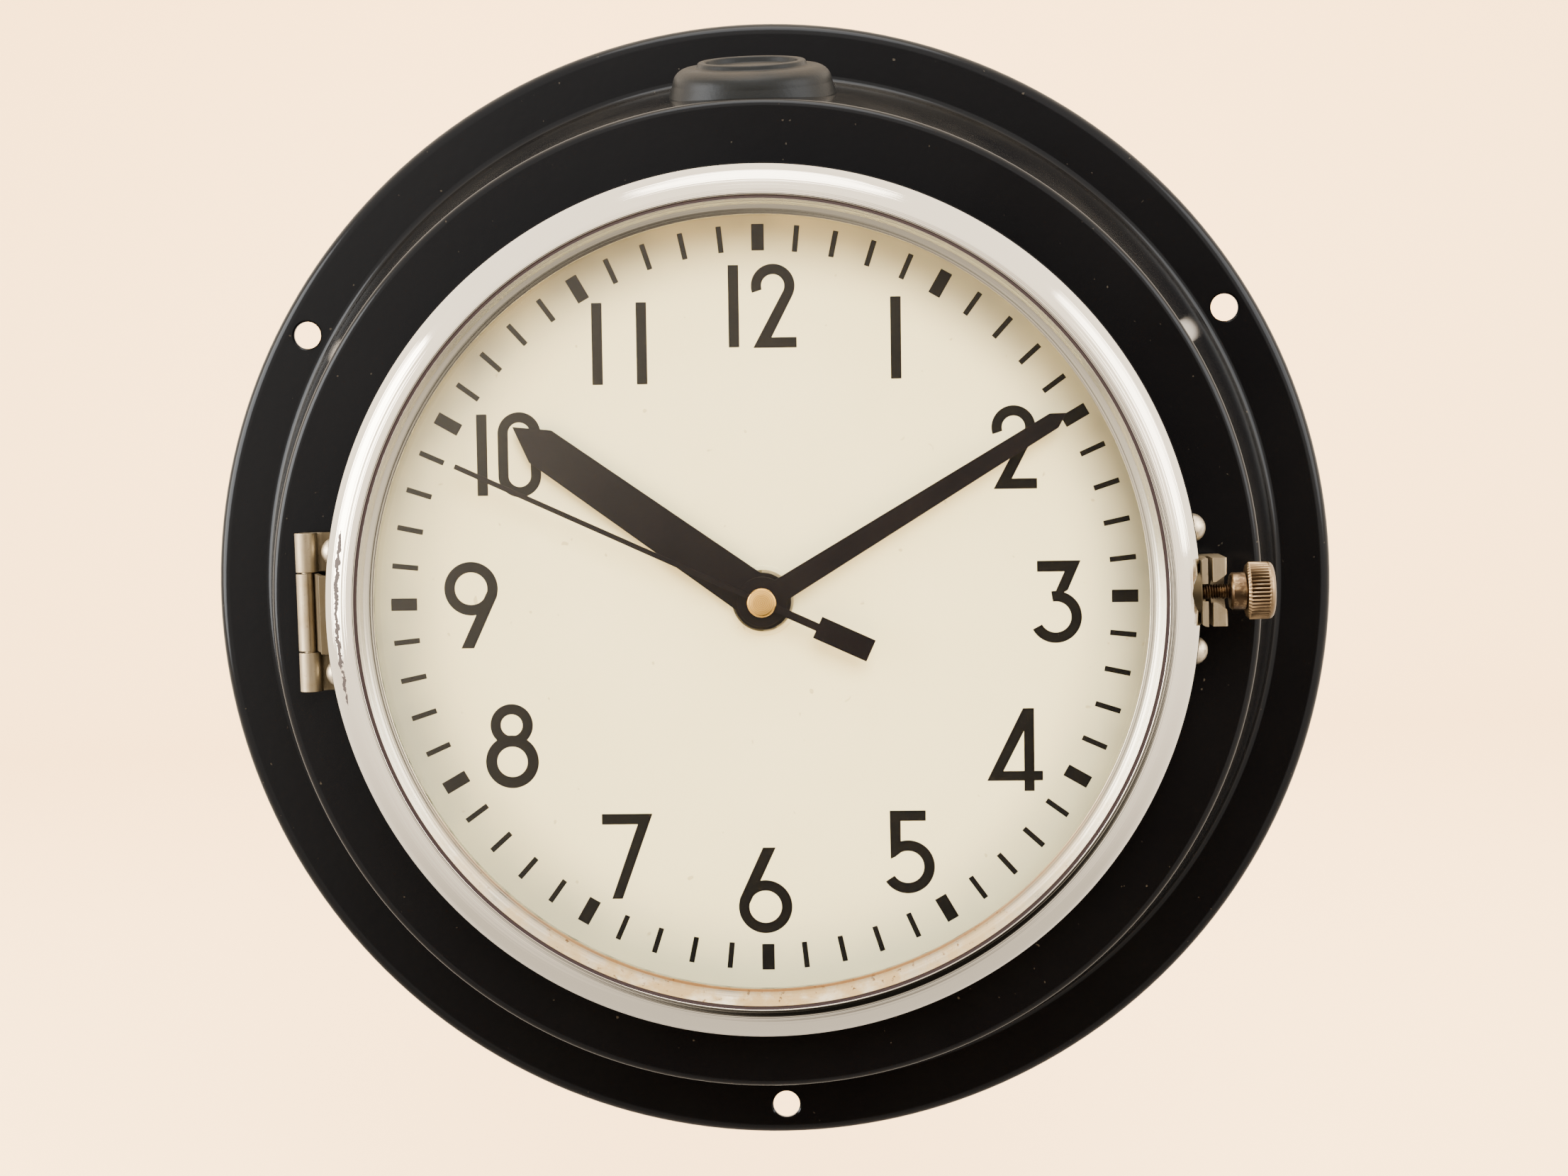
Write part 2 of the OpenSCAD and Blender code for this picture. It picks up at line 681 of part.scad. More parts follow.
// Keeper: a strap on the neck with a block whose slot takes the latch screw from the front
module latch_keeper() color("#c4bba6") place() difference() {
  strap(0) translate([0, latch_w / 2, strap_z]) rotate([90, 0, 0]) linear_extrude(height = latch_w)
    polygon([[neck_r - leaf_t, 0], [prong_out, 0], [prong_out, prong_z - strap_z], [prong_in, prong_z - strap_z],
      [prong_in, strap_h], [neck_r - leaf_t, strap_h]]);
  along_screw(prong_in - 1) cylinder(h = prong_t + 2, d = slot_w);
  translate([prong_in - 1, -slot_w / 2, screw_z]) cube([prong_t + 2, slot_w, slot_w]);
  along_screw(prong_out - slot_bevel - slot_w / 2)
    cylinder(h = slot_bevel + slot_w, r1 = 0, r2 = slot_bevel + slot_w);
}

module latch_keeper_rivets() color("#d8d2c4") place() rivet_pair(0);

// Dial ring, spot-welded inside the neck
module dial_carrier() color("#8f9092") place() difference() {
  lift(dial_back - carrier_t) ring(neck_in_r, neck_in_r - carrier_w, carrier_t);
  dial_screw_circle() lift(dial_back - carrier_t - 1) cylinder(h = carrier_t + 2, d = dial_screw_d);
}

module dial_screw_circle() {
  for (i = [0:dial_screw_count - 1]) rotate([0, 0, 45 + 360 / dial_screw_count * i])
    translate([dial_screw_r, 0, 0]) children();
}

module dial_plate() color("#efe9d6") place() difference() {
  lift(dial_back) cylinder(h = dial_t, r = dial_r, $fn = ring_fn);
  lift(dial_back - 1) cylinder(h = dial_t + 2, r = bush_r + seat_fit);
  dial_screw_circle() lift(dial_back - 1) cylinder(h = dial_t + 2, r = dial_screw_d / 2 + seat_fit);
}

module dial_screws() color("#c8c8c6") place() dial_screw_circle() {
  lift(dial_back - carrier_t) cylinder(h = carrier_t + dial_t + eps, d = dial_screw_d);
  lift(dial_z) cylinder(h = dial_screw_head_h, d = dial_screw_head_d);
}

module movement_pad() color("#303032") place()
  lift(front_z) ring(half_w * 0.6, bush_r + seat_fit, pad_t);

// Outline of the housing with round corners
module housing_outline(inset, bottom) {
  r = housing_round - inset;
  low = bottom + inset + r;
  high = housing_up - inset - r;
  side = half_w - inset - r;
  union() {
    for (x = [-side, side], y = [low, high]) translate([x, y]) circle(r = r);
    translate([-side - r, low]) square([2 * (side + r), high - low]);
    translate([-side, low - r]) square([2 * side, high - low + 2 * r]);
  }
}

// Front shell: threaded bush, train cavity, open cell bay, posts and pivots
module movement_front() color("#2b2b2d") place() {
  difference() {
    union() {
      lift(cover_z) linear_extrude(height = front_z - cover_z) housing_outline(0, -housing_down);
      lift(front_z - eps) cylinder(h = bush_z - front_z + eps, r = bush_r);
    }
    lift(cover_z - 1) linear_extrude(height = inside_z - cover_z + 1)
      housing_outline(housing_wall, rib_y);
    translate([-bay_half, bay_y, cover_z - 1]) cube([2 * bay_half, rib_y - bay_y, inside_z - cover_z + 1]);
    lift(inside_z - 1) cylinder(h = bush_z - inside_z + 2, r = hour_bore_r);
    stand(third_at, inside_z - 1) cylinder(h = 1 + front_t / 2, r = arbor_d / 2 + turn_fit);
    stand(rotor_at, inside_z - 1) cylinder(h = 1 + front_t / 2, r = arbor_d / 2 + turn_fit);
    stand(setting_at, inside_z - 1) cylinder(h = 1 + front_t / 2, r = arbor_d + turn_fit);
  }
  stand(motion_at, level(1) - pinion_over) cylinder(h = inside_z - level(1) + pinion_over + eps, d = post_d);
  for (y = [board_bottom + board_edge, board_bottom + board_h - board_edge])
    stand([board_left + board_edge + crystal_l, y], board_z + board_t)
      cylinder(h = inside_z - board_z - board_t + eps, d = board_post_d);
}

// Rear cover over the train: pivots, the intermediate post and the stator's posts
module movement_rear() color("#333335") place() {
  difference() {
    lift(rear_z) linear_extrude(height = cover_t) housing_outline(0, rib_y);
    for (p = [[0, 0], third_at, rotor_at]) stand(p, rear_z + cover_t / 2)
      cylinder(h = cover_t, r = arbor_d / 2 + turn_fit);
    stand(setting_at, rear_z - 1) cylinder(h = cover_t + 2, r = arbor_d + turn_fit);
  }
  stand(inter_at, cover_z - eps) cylinder(h = level(4) + wheel_t + pinion_over - cover_z, d = post_d);
  for (p = [[stator_left + stator_w / 2, arm_y + stator_w / 2], [stator_right - stator_w / 2, coil_y]])
    stand(p, cover_z - eps) cylinder(h = stator_z - cover_z + eps, d = stator_w);
}

module dial_washer() color("#d9d6cc") place() lift(dial_z) ring(washer_d / 2, bush_r + seat_fit, washer_t);

module dial_nut() color("#c79f57") place() lift(nut_z)
  turned([[bush_r, 0], [nut_d / 2, 0], [nut_d / 2, nut_h * 0.6], [nut_d / 2 - nut_h * 0.4, nut_h], [bush_r, nut_h]]);

// Board with its chip and crystal
module circuit_board() color("#1f6b44") place() {
  translate([board_left, board_bottom, board_z])
    cube([bay_half - seat_fit - board_left, board_h, board_t]);
  translate([board_left + board_edge, board_bottom + board_edge, board_z - chip_h])
    cube([chip_side, chip_side, chip_h + eps]);
  translate([board_left + board_edge, board_bottom + board_h - board_edge, board_z - crystal_d / 2 + 2 * turn_fit])
    rotate([0, 90, 0]) cylinder(h = crystal_l, d = crystal_d);
}

// Stator: two arms that reach from the rotor's hole to the coil's core
module stator() color("#a9a9ab") place() lift(stator_z) difference() {
  linear_extrude(height = stator_t) union() {
    translate([stator_left, arm_y]) square([stator_gap_x + stator_w - stator_left, stator_w]);
    translate([stator_left, arm_y]) square([stator_w, coil_y + stator_w / 2 - arm_y]);
    translate([stator_left, coil_y - stator_w / 2]) square([stator_right - stator_left, stator_w]);
    translate([stator_gap_x, rotor_at[1]]) square([stator_w, arm_y - rotor_at[1] + stator_w]);
    translate([stator_right - stator_w, rotor_at[1]]) square([stator_w, coil_y - rotor_at[1]]);
    translate(rotor_at) circle(r = magnet_r + air_gap + stator_w);
  }
  stand(rotor_at, -1) cylinder(h = stator_t + 2, r = magnet_r + air_gap);
}

// Winding on its bobbin, round the stator's core
module coil() color("#b5763a") place() {
  start = stator_left + stator_w + 1;
  length = stator_gap_x - start;
  difference() {
    translate([start, coil_y, stator_z + stator_t / 2]) rotate([0, 90, 0]) union() {
      cylinder(h = length, r = coil_r - 0.3);
      for (x = [0, length - 1]) lift(x) cylinder(h = 1, r = coil_r);
    }
    translate([stator_left, coil_y - stator_w / 2 - turn_fit, stator_z - turn_fit])
      cube([stator_right - stator_left, stator_w + 2 * turn_fit, stator_t + 2 * turn_fit]);
  }
}

// Cell, lying in its bay with the button to the right
module battery() color("#3c4654") place() translate([-cell_l / 2, cell_y, cell_z]) rotate([0, 90, 0]) {
  cylinder(h = cell_l, d = cell_d);
  cylinder(h = cell_l + button_h, d = button_d);
}

// Sprung contact plates at both ends of the bay
module battery_contacts() color("#cfcfcd") place() for (s = [-1, 1]) {
  x = s > 0 ? bay_half - contact_t : -bay_half;
  tip = s > 0 ? cell_l / 2 + button_h : -cell_l / 2;
  translate([x, cell_y - contact_w / 2, cell_z - contact_h / 2]) cube([contact_t, contact_w, contact_h]);
  translate([min(x, tip), cell_y, cell_z]) rotate([0, 90, 0]) cylinder(h = abs(tip - x), d = contact_spring_d);
}

// Rotor: magnet, pinion and arbor
module rotor() color("#5b5d61") place() stand(rotor_at) {
  lift(rear_z + cover_t * 0.6) cylinder(h = inside_z + front_t * 0.4 - rear_z - cover_t * 0.6, d = arbor_d);
  lift(level(5) - pinion_over) pinion(rotor_leaves, rotor_module, rotor_dir + 180, arbor_d / 2 - eps);
  lift(stator_z + stator_t / 2 - magnet_h / 2) hub(magnet_r, arbor_d / 2 - eps, magnet_h);
}

// Intermediate wheel, turning on the cover's post
module intermediate_wheel() color("#d9d2b8") place() stand(inter_at) {
  bore_r = post_d / 2 + turn_fit;
  lift(level(5)) wheel(inter_teeth, rotor_module, rotor_leaves, rotor_dir, bore_r);
  lift(level(4) - pinion_over) pinion(inter_leaves, drive_module, inter_dir + 180, bore_r);
  lift(level(5)) hub(bore_r + 0.25, bore_r, level_step);
}

// Seconds wheel, pinion and the long arbor that carries the second hand
module seconds_wheel() color("#d9d2b8") place() {
  bottom = rear_z + cover_t * 0.6;
  lift(bottom) cylinder(h = second_z + second_t - bottom, d = arbor_d);
  lift(level(4)) wheel(second_teeth, drive_module, inter_leaves, inter_dir, arbor_d / 2 - eps);
  lift(level(3) - pinion_over) pinion(second_leaves, train_module, third_dir, arbor_d / 2 - eps);
}

module third_wheel() color("#d9d2b8") place() stand(third_at) {
  bottom = rear_z + cover_t * 0.6;
  lift(bottom) cylinder(h = inside_z + front_t * 0.4 - bottom, d = arbor_d);
  lift(level(3)) wheel(third_teeth, train_module, second_leaves, third_dir + 180, arbor_d / 2 - eps);
  lift(level(2) - pinion_over) pinion(third_leaves, minute_module, third_dir + 180, arbor_d / 2 - eps);
}

// Minute wheel, cannon pinion and the pipe that carries the minute hand
module minute_wheel() color("#d9d2b8") place() {
  pipe_r = minute_pipe_d / 2;
  lift(level(2)) hub(pipe_r, arbor_d / 2 + turn_fit, minute_z + hand_t - level(2));
  lift(level(2)) wheel(minute_teeth, minute_module, third_leaves, third_dir, pipe_r - eps);
  lift(level(1) - pinion_over) pinion(cannon_leaves, train_module, motion_dir, pipe_r - eps);
}

// Motion wheel and pinion, turning on the front plate's post
module motion_wheel() color("#d9d2b8") place() stand(motion_at) {
  bore_r = post_d / 2 + turn_fit;
  lift(level(1)) wheel(motion_teeth, train_module, cannon_leaves, motion_dir + 180, bore_r);
  lift(level(0) - pinion_over) pinion(motion_leaves, hour_module, motion_dir + 180, bore_r);
  lift(level(1)) hub(bore_r + 0.25, bore_r, level_step);
}

// Hour wheel and the pipe that carries the hour hand
module hour_wheel() color("#d9d2b8") place() {
  pipe_r = hour_pipe_d / 2;
  lift(level(0)) hub(pipe_r, minute_pipe_d / 2 + turn_fit, hour_z + hand_t - level(0));
  lift(level(0)) wheel(hour_teeth, hour_module, motion_leaves, motion_dir, pipe_r - eps);
}

// Setting knob behind the cover, its shaft and the pinion that turns the motion wheel
module setting_knob() color("#3a3a3c") place() stand(setting_at) {
  knob_z = rear_z - knob_reach;
  ridges = 24;
  lift(knob_z) cylinder(h = inside_z + front_t * 0.4 - knob_z, r = arbor_d);
  lift(level(1) - pinion_over) pinion(setting_leaves, train_module, setting_dir + 180, arbor_d - eps);
  lift(knob_z) linear_extrude(height = knob_h)
    polygon([for (i = [0:2 * ridges - 1]) polar(knob_d / 2 - (i % 2) * knurl_depth, 180 / ridges * i)]);
}

// Hour or minute hand: a tapered blade with a pencil point on a round hub
module blade(l, w, tip_w, hub_d, bore_d, angle, z) {
  lift(z) rotate([0, 0, -angle]) difference() {
    linear_extrude(height = hand_t) union() {
      polygon(hand_outline(l, w, tip_w));
      circle(d = hub_d);
    }
    lift(-1) cylinder(h = hand_t + 2, d = bore_d);
  }
}

module hour_hand() color("#1b1b1c") place()
  blade(hour_l, hour_w, hour_tip_w, hour_hub_d, hour_pipe_d, hour_angle, hour_z);

module minute_hand() color("#1b1b1c") place()
  blade(minute_l, minute_w, minute_tip_w, minute_hub_d, minute_pipe_d, minute_angle, minute_z);

// Second hand: a thin blade, a tail and a square counterweight
module second_hand() color("#1b1b1c") place() lift(second_z) rotate([0, 0, -second_angle]) difference() {
  linear_extrude(height = second_t) union() {
    translate([-second_w / 2, 0]) square([second_w, second_l]);
    translate([-tail_w / 2, -weight_start - eps]) square([tail_w, weight_start]);
    translate([-weight_w / 2, -weight_start - weight_l]) square([weight_w, weight_l]);
    circle(d = cap_d - 2 * seat_fit);
  }
  lift(-1) cylinder(h = second_t + 2, d = arbor_d);
}

module second_hand_cap() color("#d8ae62") place() lift(second_z + second_t)
  turned([[0, 0], [cap_d / 2, 0], [cap_d / 2, cap_h - 0.3], [cap_d / 2 - 0.3, cap_h], [0, cap_h]]);

// Section of the bezel: back face, quarter-round bead, hollow inner slope, lip and glass pocket
function bezel_section() = concat(
  [[pocket_r, bezel_z], [bezel_r, bezel_z]],
  arc(bead_c, bead_r, 0, 90, 2 * arc_n),
  [[bead_c[0] - cove_w * 0.5, crest_z - cove_h * 0.7], [opening_r, crest_z - cove_h],
   [opening_r, lip_z], [pocket_r, lip_z]]);

module bezel_ring() color("#d6d6da") place() difference() {
  turned(bezel_section());
  translate([lug_in, -latch_w / 2, bezel_z - 1]) cube([bezel_r, latch_w, crest_z]);
  along_screw(boss_in) cylinder(h = bezel_r, d = boss_d);
}

module glass_seal() color("#202022") place()
  lift(lip_z - seal_t) ring(pocket_r, opening_r + seat_fit, seal_t);

module glass() color("#dfe9ea", 0.35) place() lift(glass_z) cylinder(h = glass_t, r = glass_r, $fn = ring_fn);

module glass_retainer() color("#b8b8ba") place()
  lift(glass_z - retainer_h) ring(pocket_r, pocket_r - retainer_w, retainer_h);

// Lug let into the bezel's edge, with the threaded boss behind it
module latch_lug() color("#b9ac95") place() difference() {
  union() {
    translate([lug_in, -latch_w / 2, bezel_z]) cube([lug_t, latch_w, lug_h]);
    along_screw(boss_in) intersection() {
      cylinder(h = boss_l + eps, d = boss_d);
      translate([-lug_h / 2, -boss_d, -1]) cube([lug_h, 2 * boss_d, boss_l + 2]);
    }
  }
  along_screw(boss_in - 1) cylinder(h = boss_l + lug_t + 2, r = stem_d / 2 + turn_fit);
}

// Sleeve that stays square to the keeper while the screw turns in it
module latch_sleeve() color("#b08a4a") place() along_screw(sleeve_in) {
  r = sleeve_d / 2;
  bevel = r - slot_w / 2 - slot_bevel + seat_fit;
  bore = stem_d / 2 + turn_fit;
  turned([[bore, 0], [r - bevel, 0], [r, bevel], [r, sleeve_l], [bore, sleeve_l]]);
}

// Thumbscrew: threaded stem and straight-knurled head with bevelled ends
module thumbscrew() color("#b8924f") place() {
  r = head_d / 2;
  bevel = 0.7;
  along_screw(stem_in) cylinder(h = head_in - stem_in + eps, d = stem_d);
  along_screw(head_in) intersection() {
    linear_extrude(height = head_l)
      polygon([for (i = [0:2 * knurl_count - 1]) polar(r - (i % 2) * knurl_depth, 180 / knurl_count * i)]);
    turned([[0, 0], [r - bevel, 0], [r + bevel, 2 * bevel], [r + bevel, head_l - 2 * bevel],
      [r - bevel, head_l], [0, head_l]]);
  }
}

case_shell();
cable_plug();
bezel_gasket();
hinge_case_leaf();
hinge_case_rivets();
hinge_pin();
latch_keeper();
latch_keeper_rivets();
dial_carrier();
dial_plate();
dial_screws();
movement_pad();
movement_front();
movement_rear();
dial_washer();
dial_nut();
circuit_board();
stator();
coil();
battery();
battery_contacts();
rotor();
intermediate_wheel();
seconds_wheel();
third_wheel();
minute_wheel();
motion_wheel();
hour_wheel();
setting_knob();
hour_hand();
minute_hand();
second_hand();
second_hand_cap();
bezel_ring();
glass_seal();
glass();
glass_retainer();
hinge_bezel_leaf();
latch_lug();
latch_sleeve();
thumbscrew();
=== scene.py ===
# Bulkhead deck clock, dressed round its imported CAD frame.
# Row frame in metres: the wall is y = 0, the dial faces -Y and +Z is up. Pieces are drawn in
# millimetres with the dial lying face up (x right, y up the dial, z off the wall).
import math

import bmesh
import bpy
from bmesh.types import BMEdge, BMFace, BMVert
from mathutils import Matrix, Vector


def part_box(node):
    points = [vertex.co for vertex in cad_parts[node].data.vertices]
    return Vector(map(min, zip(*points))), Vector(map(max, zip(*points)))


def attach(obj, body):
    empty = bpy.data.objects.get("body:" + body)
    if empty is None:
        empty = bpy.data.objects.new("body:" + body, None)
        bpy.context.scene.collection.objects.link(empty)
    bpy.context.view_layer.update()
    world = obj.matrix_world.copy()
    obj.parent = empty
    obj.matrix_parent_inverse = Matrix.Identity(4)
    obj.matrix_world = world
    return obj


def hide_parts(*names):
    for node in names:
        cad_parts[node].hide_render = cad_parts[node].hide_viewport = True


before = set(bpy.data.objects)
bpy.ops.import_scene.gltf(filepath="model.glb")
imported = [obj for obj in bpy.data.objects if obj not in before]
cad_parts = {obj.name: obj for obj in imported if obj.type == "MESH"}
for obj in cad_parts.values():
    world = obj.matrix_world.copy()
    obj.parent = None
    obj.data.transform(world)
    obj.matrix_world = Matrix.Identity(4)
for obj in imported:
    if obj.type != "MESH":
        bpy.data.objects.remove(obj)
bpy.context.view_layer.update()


# Camera: a hand-held phone about 60 cm off the wall, a little above and to the right of the
# dial's middle, aimed back at it and tipped a little.
camera_lens = bpy.data.cameras.new("camera")
camera_lens.lens = 63.6
camera_lens.sensor_width = 36.0
camera_lens.sensor_fit = "HORIZONTAL"
camera = bpy.data.objects.new("camera", camera_lens)
camera.location = (0.0240, -0.600, 0.0405)
camera_aim = Vector((0.0027, -0.003, -0.0007)) - camera.location
camera_tip = Matrix.Rotation(math.radians(-1.7), 3, "Z")
camera.rotation_euler = (camera_aim.to_track_quat("-Z", "Y").to_matrix() @ camera_tip).to_euler()
bpy.context.scene.collection.objects.link(camera)
bpy.context.scene.camera = camera


# Case shell: one pressing of 1.2 mm sheet steel. The rolled wall flange, the tapered drum, the flat
# front ring and the upright neck are one sheet, pierced for three wall screws, the cable and rivets.
sheet = 1.2
flange_r = 120.0
flange_z = 5.0
foot_r = 108.0
ridge_r = 100.0
ring_z = 42.0
neck_r = 85.3
neck_z = 52.6
taper = (foot_r - ridge_r) / (ring_z - flange_z)
wall_offset = sheet * math.sqrt(1 + taper * taper)

# From the dial-up drawing in millimetres to the row frame in metres.
hang = Matrix.Scale(0.001, 4) @ Matrix.Rotation(math.radians(90), 4, "X")


def rounded_face(bm, corners, segments):
    """Face in the x-z plane from (x, z, corner radius), each corner rounded by a vertex bevel."""
    verts = [bm.verts.new((x, 0.0, z)) for x, z, _ in corners]
    bm.faces.new(verts)
    for vert, (_, _, radius) in zip(verts, corners):
        if radius > 0:
            sides = [edge.other_vert(vert).co - vert.co for edge in vert.link_edges]
            reach = radius / math.tan(sides[0].angle(sides[1]) / 2)
            bmesh.ops.bevel(bm, geom=[vert], offset=reach, offset_type="OFFSET", affect="VERTICES",
                            segments=segments, profile=0.5, material=-1)


def lathe(corners, segments=7, steps=192):
    """Solid turned about the z axis from a closed section of (radius, height, corner radius)."""
    bm = bmesh.new()
    rounded_face(bm, corners, segments)
    bmesh.ops.delete(bm, geom=bm.faces[:], context="FACES_ONLY")
    bmesh.ops.spin(bm, geom=bm.verts[:] + bm.edges[:], cent=(0, 0, 0), axis=(0, 0, 1),
                   angle=math.tau, steps=steps, use_merge=True)
    bmesh.ops.remove_doubles(bm, verts=bm.verts[:], dist=0.0005)
    bmesh.ops.recalc_face_normals(bm, faces=bm.faces[:])
    return bm


def carve(bm, tool, operation="DIFFERENCE"):
    """One closed solid cut or joined by another; both are used up."""
    pair = []
    for part in (bm, tool):
        mesh = bpy.data.meshes.new("blank")
        part.to_mesh(mesh)
        part.free()
        blank = bpy.data.objects.new("blank", mesh)
        bpy.context.scene.collection.objects.link(blank)
        pair.append(blank)
    press = pair[0].modifiers.new("press", "BOOLEAN")
    press.object = pair[1]
    press.operation = operation
    press.solver = "EXACT"
    shaped = pair[0].evaluated_get(bpy.context.evaluated_depsgraph_get())
    result = bmesh.new()
    result.from_mesh(shaped.to_mesh())
    for blank in pair:
        mesh = blank.data
        bpy.data.objects.remove(blank)
        bpy.data.meshes.remove(mesh)
    bmesh.ops.remove_doubles(result, verts=result.verts[:], dist=0.0005)
    return result


def join(bm, other):
    """Adds a drawing's parts to another drawing."""
    mesh = bpy.data.meshes.new("blank")
    other.to_mesh(mesh)
    other.free()
    bm.from_mesh(mesh)
    bpy.data.meshes.remove(mesh)


def set_at(bm, place):
    """Moves a whole drawing to a place."""
    bmesh.ops.transform(bm, matrix=place, verts=bm.verts[:])


def round_dial(angle, radius, height=0.0):
    """Place at a direction round the dial, a radius from its axis."""
    return Matrix.Rotation(math.radians(angle), 4, "Z") @ Matrix.Translation((radius, 0, height))


def outward(angle, radius, height):
    """The same place with its z axis pointing outwards."""
    return round_dial(angle, radius, height) @ Matrix.Rotation(math.radians(90), 4, "Y")


def rod(bm, radius, length, place, segments=32):
    """Adds a round bar along a place's z axis, centred there."""
    bmesh.ops.create_cone(bm, cap_ends=True, segments=segments, radius1=radius, radius2=radius,
                          depth=length, matrix=place)
    return bm


def piece(bm, name, body, slot, finish, *nodes, sharp=32):
    """Makes a finished object of a drawing, on its body, for the nodes it stands for, which it hides; the
    slot is not used.
    """
    set_at(bm, hang)
    mesh = bpy.data.meshes.new(name)
    bm.to_mesh(mesh)
    bm.free()
    mesh.materials.append(finish)
    mesh.shade_smooth()
    mesh.set_sharp_from_angle(angle=math.radians(sharp))
    made = bpy.data.objects.new(name, mesh)
    bpy.context.scene.collection.objects.link(made)
    flats = made.modifiers.new("flats stay flat", "WEIGHTED_NORMAL")
    flats.keep_sharp = True
    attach(made, body)
    if nodes:
        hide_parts(*nodes)
    return made


def paint(code):
    """Linear colour of an sRGB hex code."""
    parts = [int(code[i:i + 2], 16) / 255 for i in (1, 3, 5)]
    return (*[c / 12.92 if c <= 0.04045 else ((c + 0.055) / 1.055) ** 2.4 for c in parts], 1.0)


def add(tree, kind, links, **settings):
    """Adds a shader node; each input is a node, a socket, a hex colour or a plain value."""
    made = tree.nodes.new("ShaderNode" + kind)
    if kind == "Mix":
        made.data_type = "RGBA"
    for name, value in settings.items():
        setattr(made, name, value)
    for socket, value in links.items():
        if isinstance(value, str):
            value = paint(value)
        if isinstance(value, bpy.types.Node):
            value = value.outputs[2 if value.bl_idname == "ShaderNodeMix" else 0]
        if isinstance(value, bpy.types.NodeSocket):
            tree.links.new(value, made.inputs[socket])
        else:
            made.inputs[socket].default_value = value
    return made


def new_finish(name):
    """Empty node material, its tree and its Object coordinates."""
    made = bpy.data.materials.new(name)
    made.use_nodes = True
    made.node_tree.nodes.clear()
    coordinates = made.node_tree.nodes.new("ShaderNodeTexCoord")
    return made, made.node_tree, coordinates.outputs["Object"]


def every(mm):
    """Texture scale that repeats a feature at a spacing in millimetres."""
    return 1000.0 / mm


# Stove enamel, sprayed and baked gloss black: a faint orange peel breaks up the reflections, a film of
# dust dulls the upward faces, and a few grains lie about.
stove_enamel, tree, at = new_finish("gloss_black_stove_enamel")
peel = add(tree, "TexNoise", {"Vector": at, "Scale": every(2.4), "Detail": 2.0, "Roughness": 0.4})
cloud = add(tree, "TexNoise", {"Vector": at, "Scale": every(38), "Detail": 4.0, "Roughness": 0.6})
grit = add(tree, "TexNoise", {"Vector": at, "Scale": every(1.3), "Detail": 1.0, "Roughness": 0.5})
grain = add(tree, "MapRange", {"Value": grit, "From Min": 0.775, "From Max": 0.81})
patch = add(tree, "MapRange", {"Value": cloud, "From Min": 0.35, "From Max": 0.7})
facing = add(tree, "SeparateXYZ", {"Vector": add(tree, "NewGeometry", {}).outputs["Normal"]})
ledge = add(tree, "MapRange", {"Value": facing.outputs["Z"], "From Min": 0.45, "From Max": 1.0,
                               "To Max": 0.08})
film = add(tree, "Math", {0: patch, 1: ledge}, operation="MULTIPLY")
grains = add(tree, "Math", {0: grain, 1: 0.18}, operation="MULTIPLY")
dust = add(tree, "Math", {0: film, 1: grains}, operation="MAXIMUM", use_clamp=True)
black = add(tree, "Mix", {0: cloud, 6: "#030304", 7: "#060607"})
colour = add(tree, "Mix", {0: dust, 6: black, 7: "#57534a"})
clouded = add(tree, "MapRange", {"Value": cloud, "To Min": 0.10, "To Max": 0.20})
gloss = add(tree, "Math", {0: dust, 1: 0.5, 2: clouded}, operation="MULTIPLY_ADD", use_clamp=True)
skin = add(tree, "Bump", {"Height": peel, "Strength": 0.05, "Distance": 0.0002})
shader = add(tree, "BsdfPrincipled", {"Base Color": colour, "Roughness": gloss, "Normal": skin,
                                      "Specular IOR Level": 0.17, "Specular Tint": "#dceaff"})
add(tree, "OutputMaterial", {"Surface": shader})

root_round = 1.8
ridge_round = 1.6
shell = lathe([
    (flange_r - sheet, 0.0, 0.3),
    (flange_r, 0.0, 0.3),
    (flange_r, flange_z, 2.5),
    (foot_r, flange_z, root_round),
    (ridge_r, ring_z, ridge_round),
    (neck_r, ring_z, 2.0),
    (neck_r, neck_z, 0.3),
    (neck_r - sheet, neck_z, 0.3),
    (neck_r - sheet, ring_z - sheet, 3.2),
    (foot_r - (ring_z - sheet - flange_z) * taper - wall_offset, ring_z - sheet, 0.4),
    (foot_r + sheet * taper - wall_offset, flange_z - sheet, 3.0),
    (flange_r - sheet, flange_z - sheet, 1.3),
], steps=216)
hole_r = 2.9
sunk_r = 3.6
sunk_half = 0.35
hole_ring = 113.5
punches = bmesh.new()
for hole_angle in (270, 30, 150):
    punch = lathe([
        (0.0, 1.0, 0.0),
        (hole_r, 1.0, 0.0),
        (hole_r, flange_z - sunk_half, 0.0),
        (sunk_r, flange_z + sunk_half, 0.0),
        (sunk_r, 9.0, 0.0),
        (0.0, 9.0, 0.0),
    ], steps=48)
    set_at(punch, round_dial(hole_angle, hole_ring))
    join(punches, punch)
plug_z = (flange_z + ring_z) / 2
plug_r = (foot_r + ridge_r) / 2
drum_lean = math.degrees(math.atan(taper))
on_drum = Matrix.Translation((0, plug_r, plug_z)) @ Matrix.Rotation(math.radians(drum_lean - 90), 4, "X")
cable_hole_r = 11.0
rod(punches, cable_hole_r, 2 * cable_hole_r, on_drum, 64)
strip = 1.0
strap_r = neck_r + strip
rivet_z = 48.1
rivet_off = 12.2
rivet_turn = math.degrees(math.asin(rivet_off / strap_r))
shank_r = 1.5
for side in (0, 180):
    for turn in (-rivet_turn, rivet_turn):
        rod(punches, shank_r, 8.0, outward(side + turn, neck_r, rivet_z))
shell = carve(shell, punches)
piece(shell, "case_pressing", "case", "enamel", stove_enamel, "case_shell")


# Cable plug: a moulded rubber blank that closes the cable hole at twelve o'clock. A domed rim beds on
# the drum, a raised ring stands on it, and a groove behind snaps over the edge of the sheet.
plug_rubber, tree, at = new_finish("moulded_rubber_with_dust")
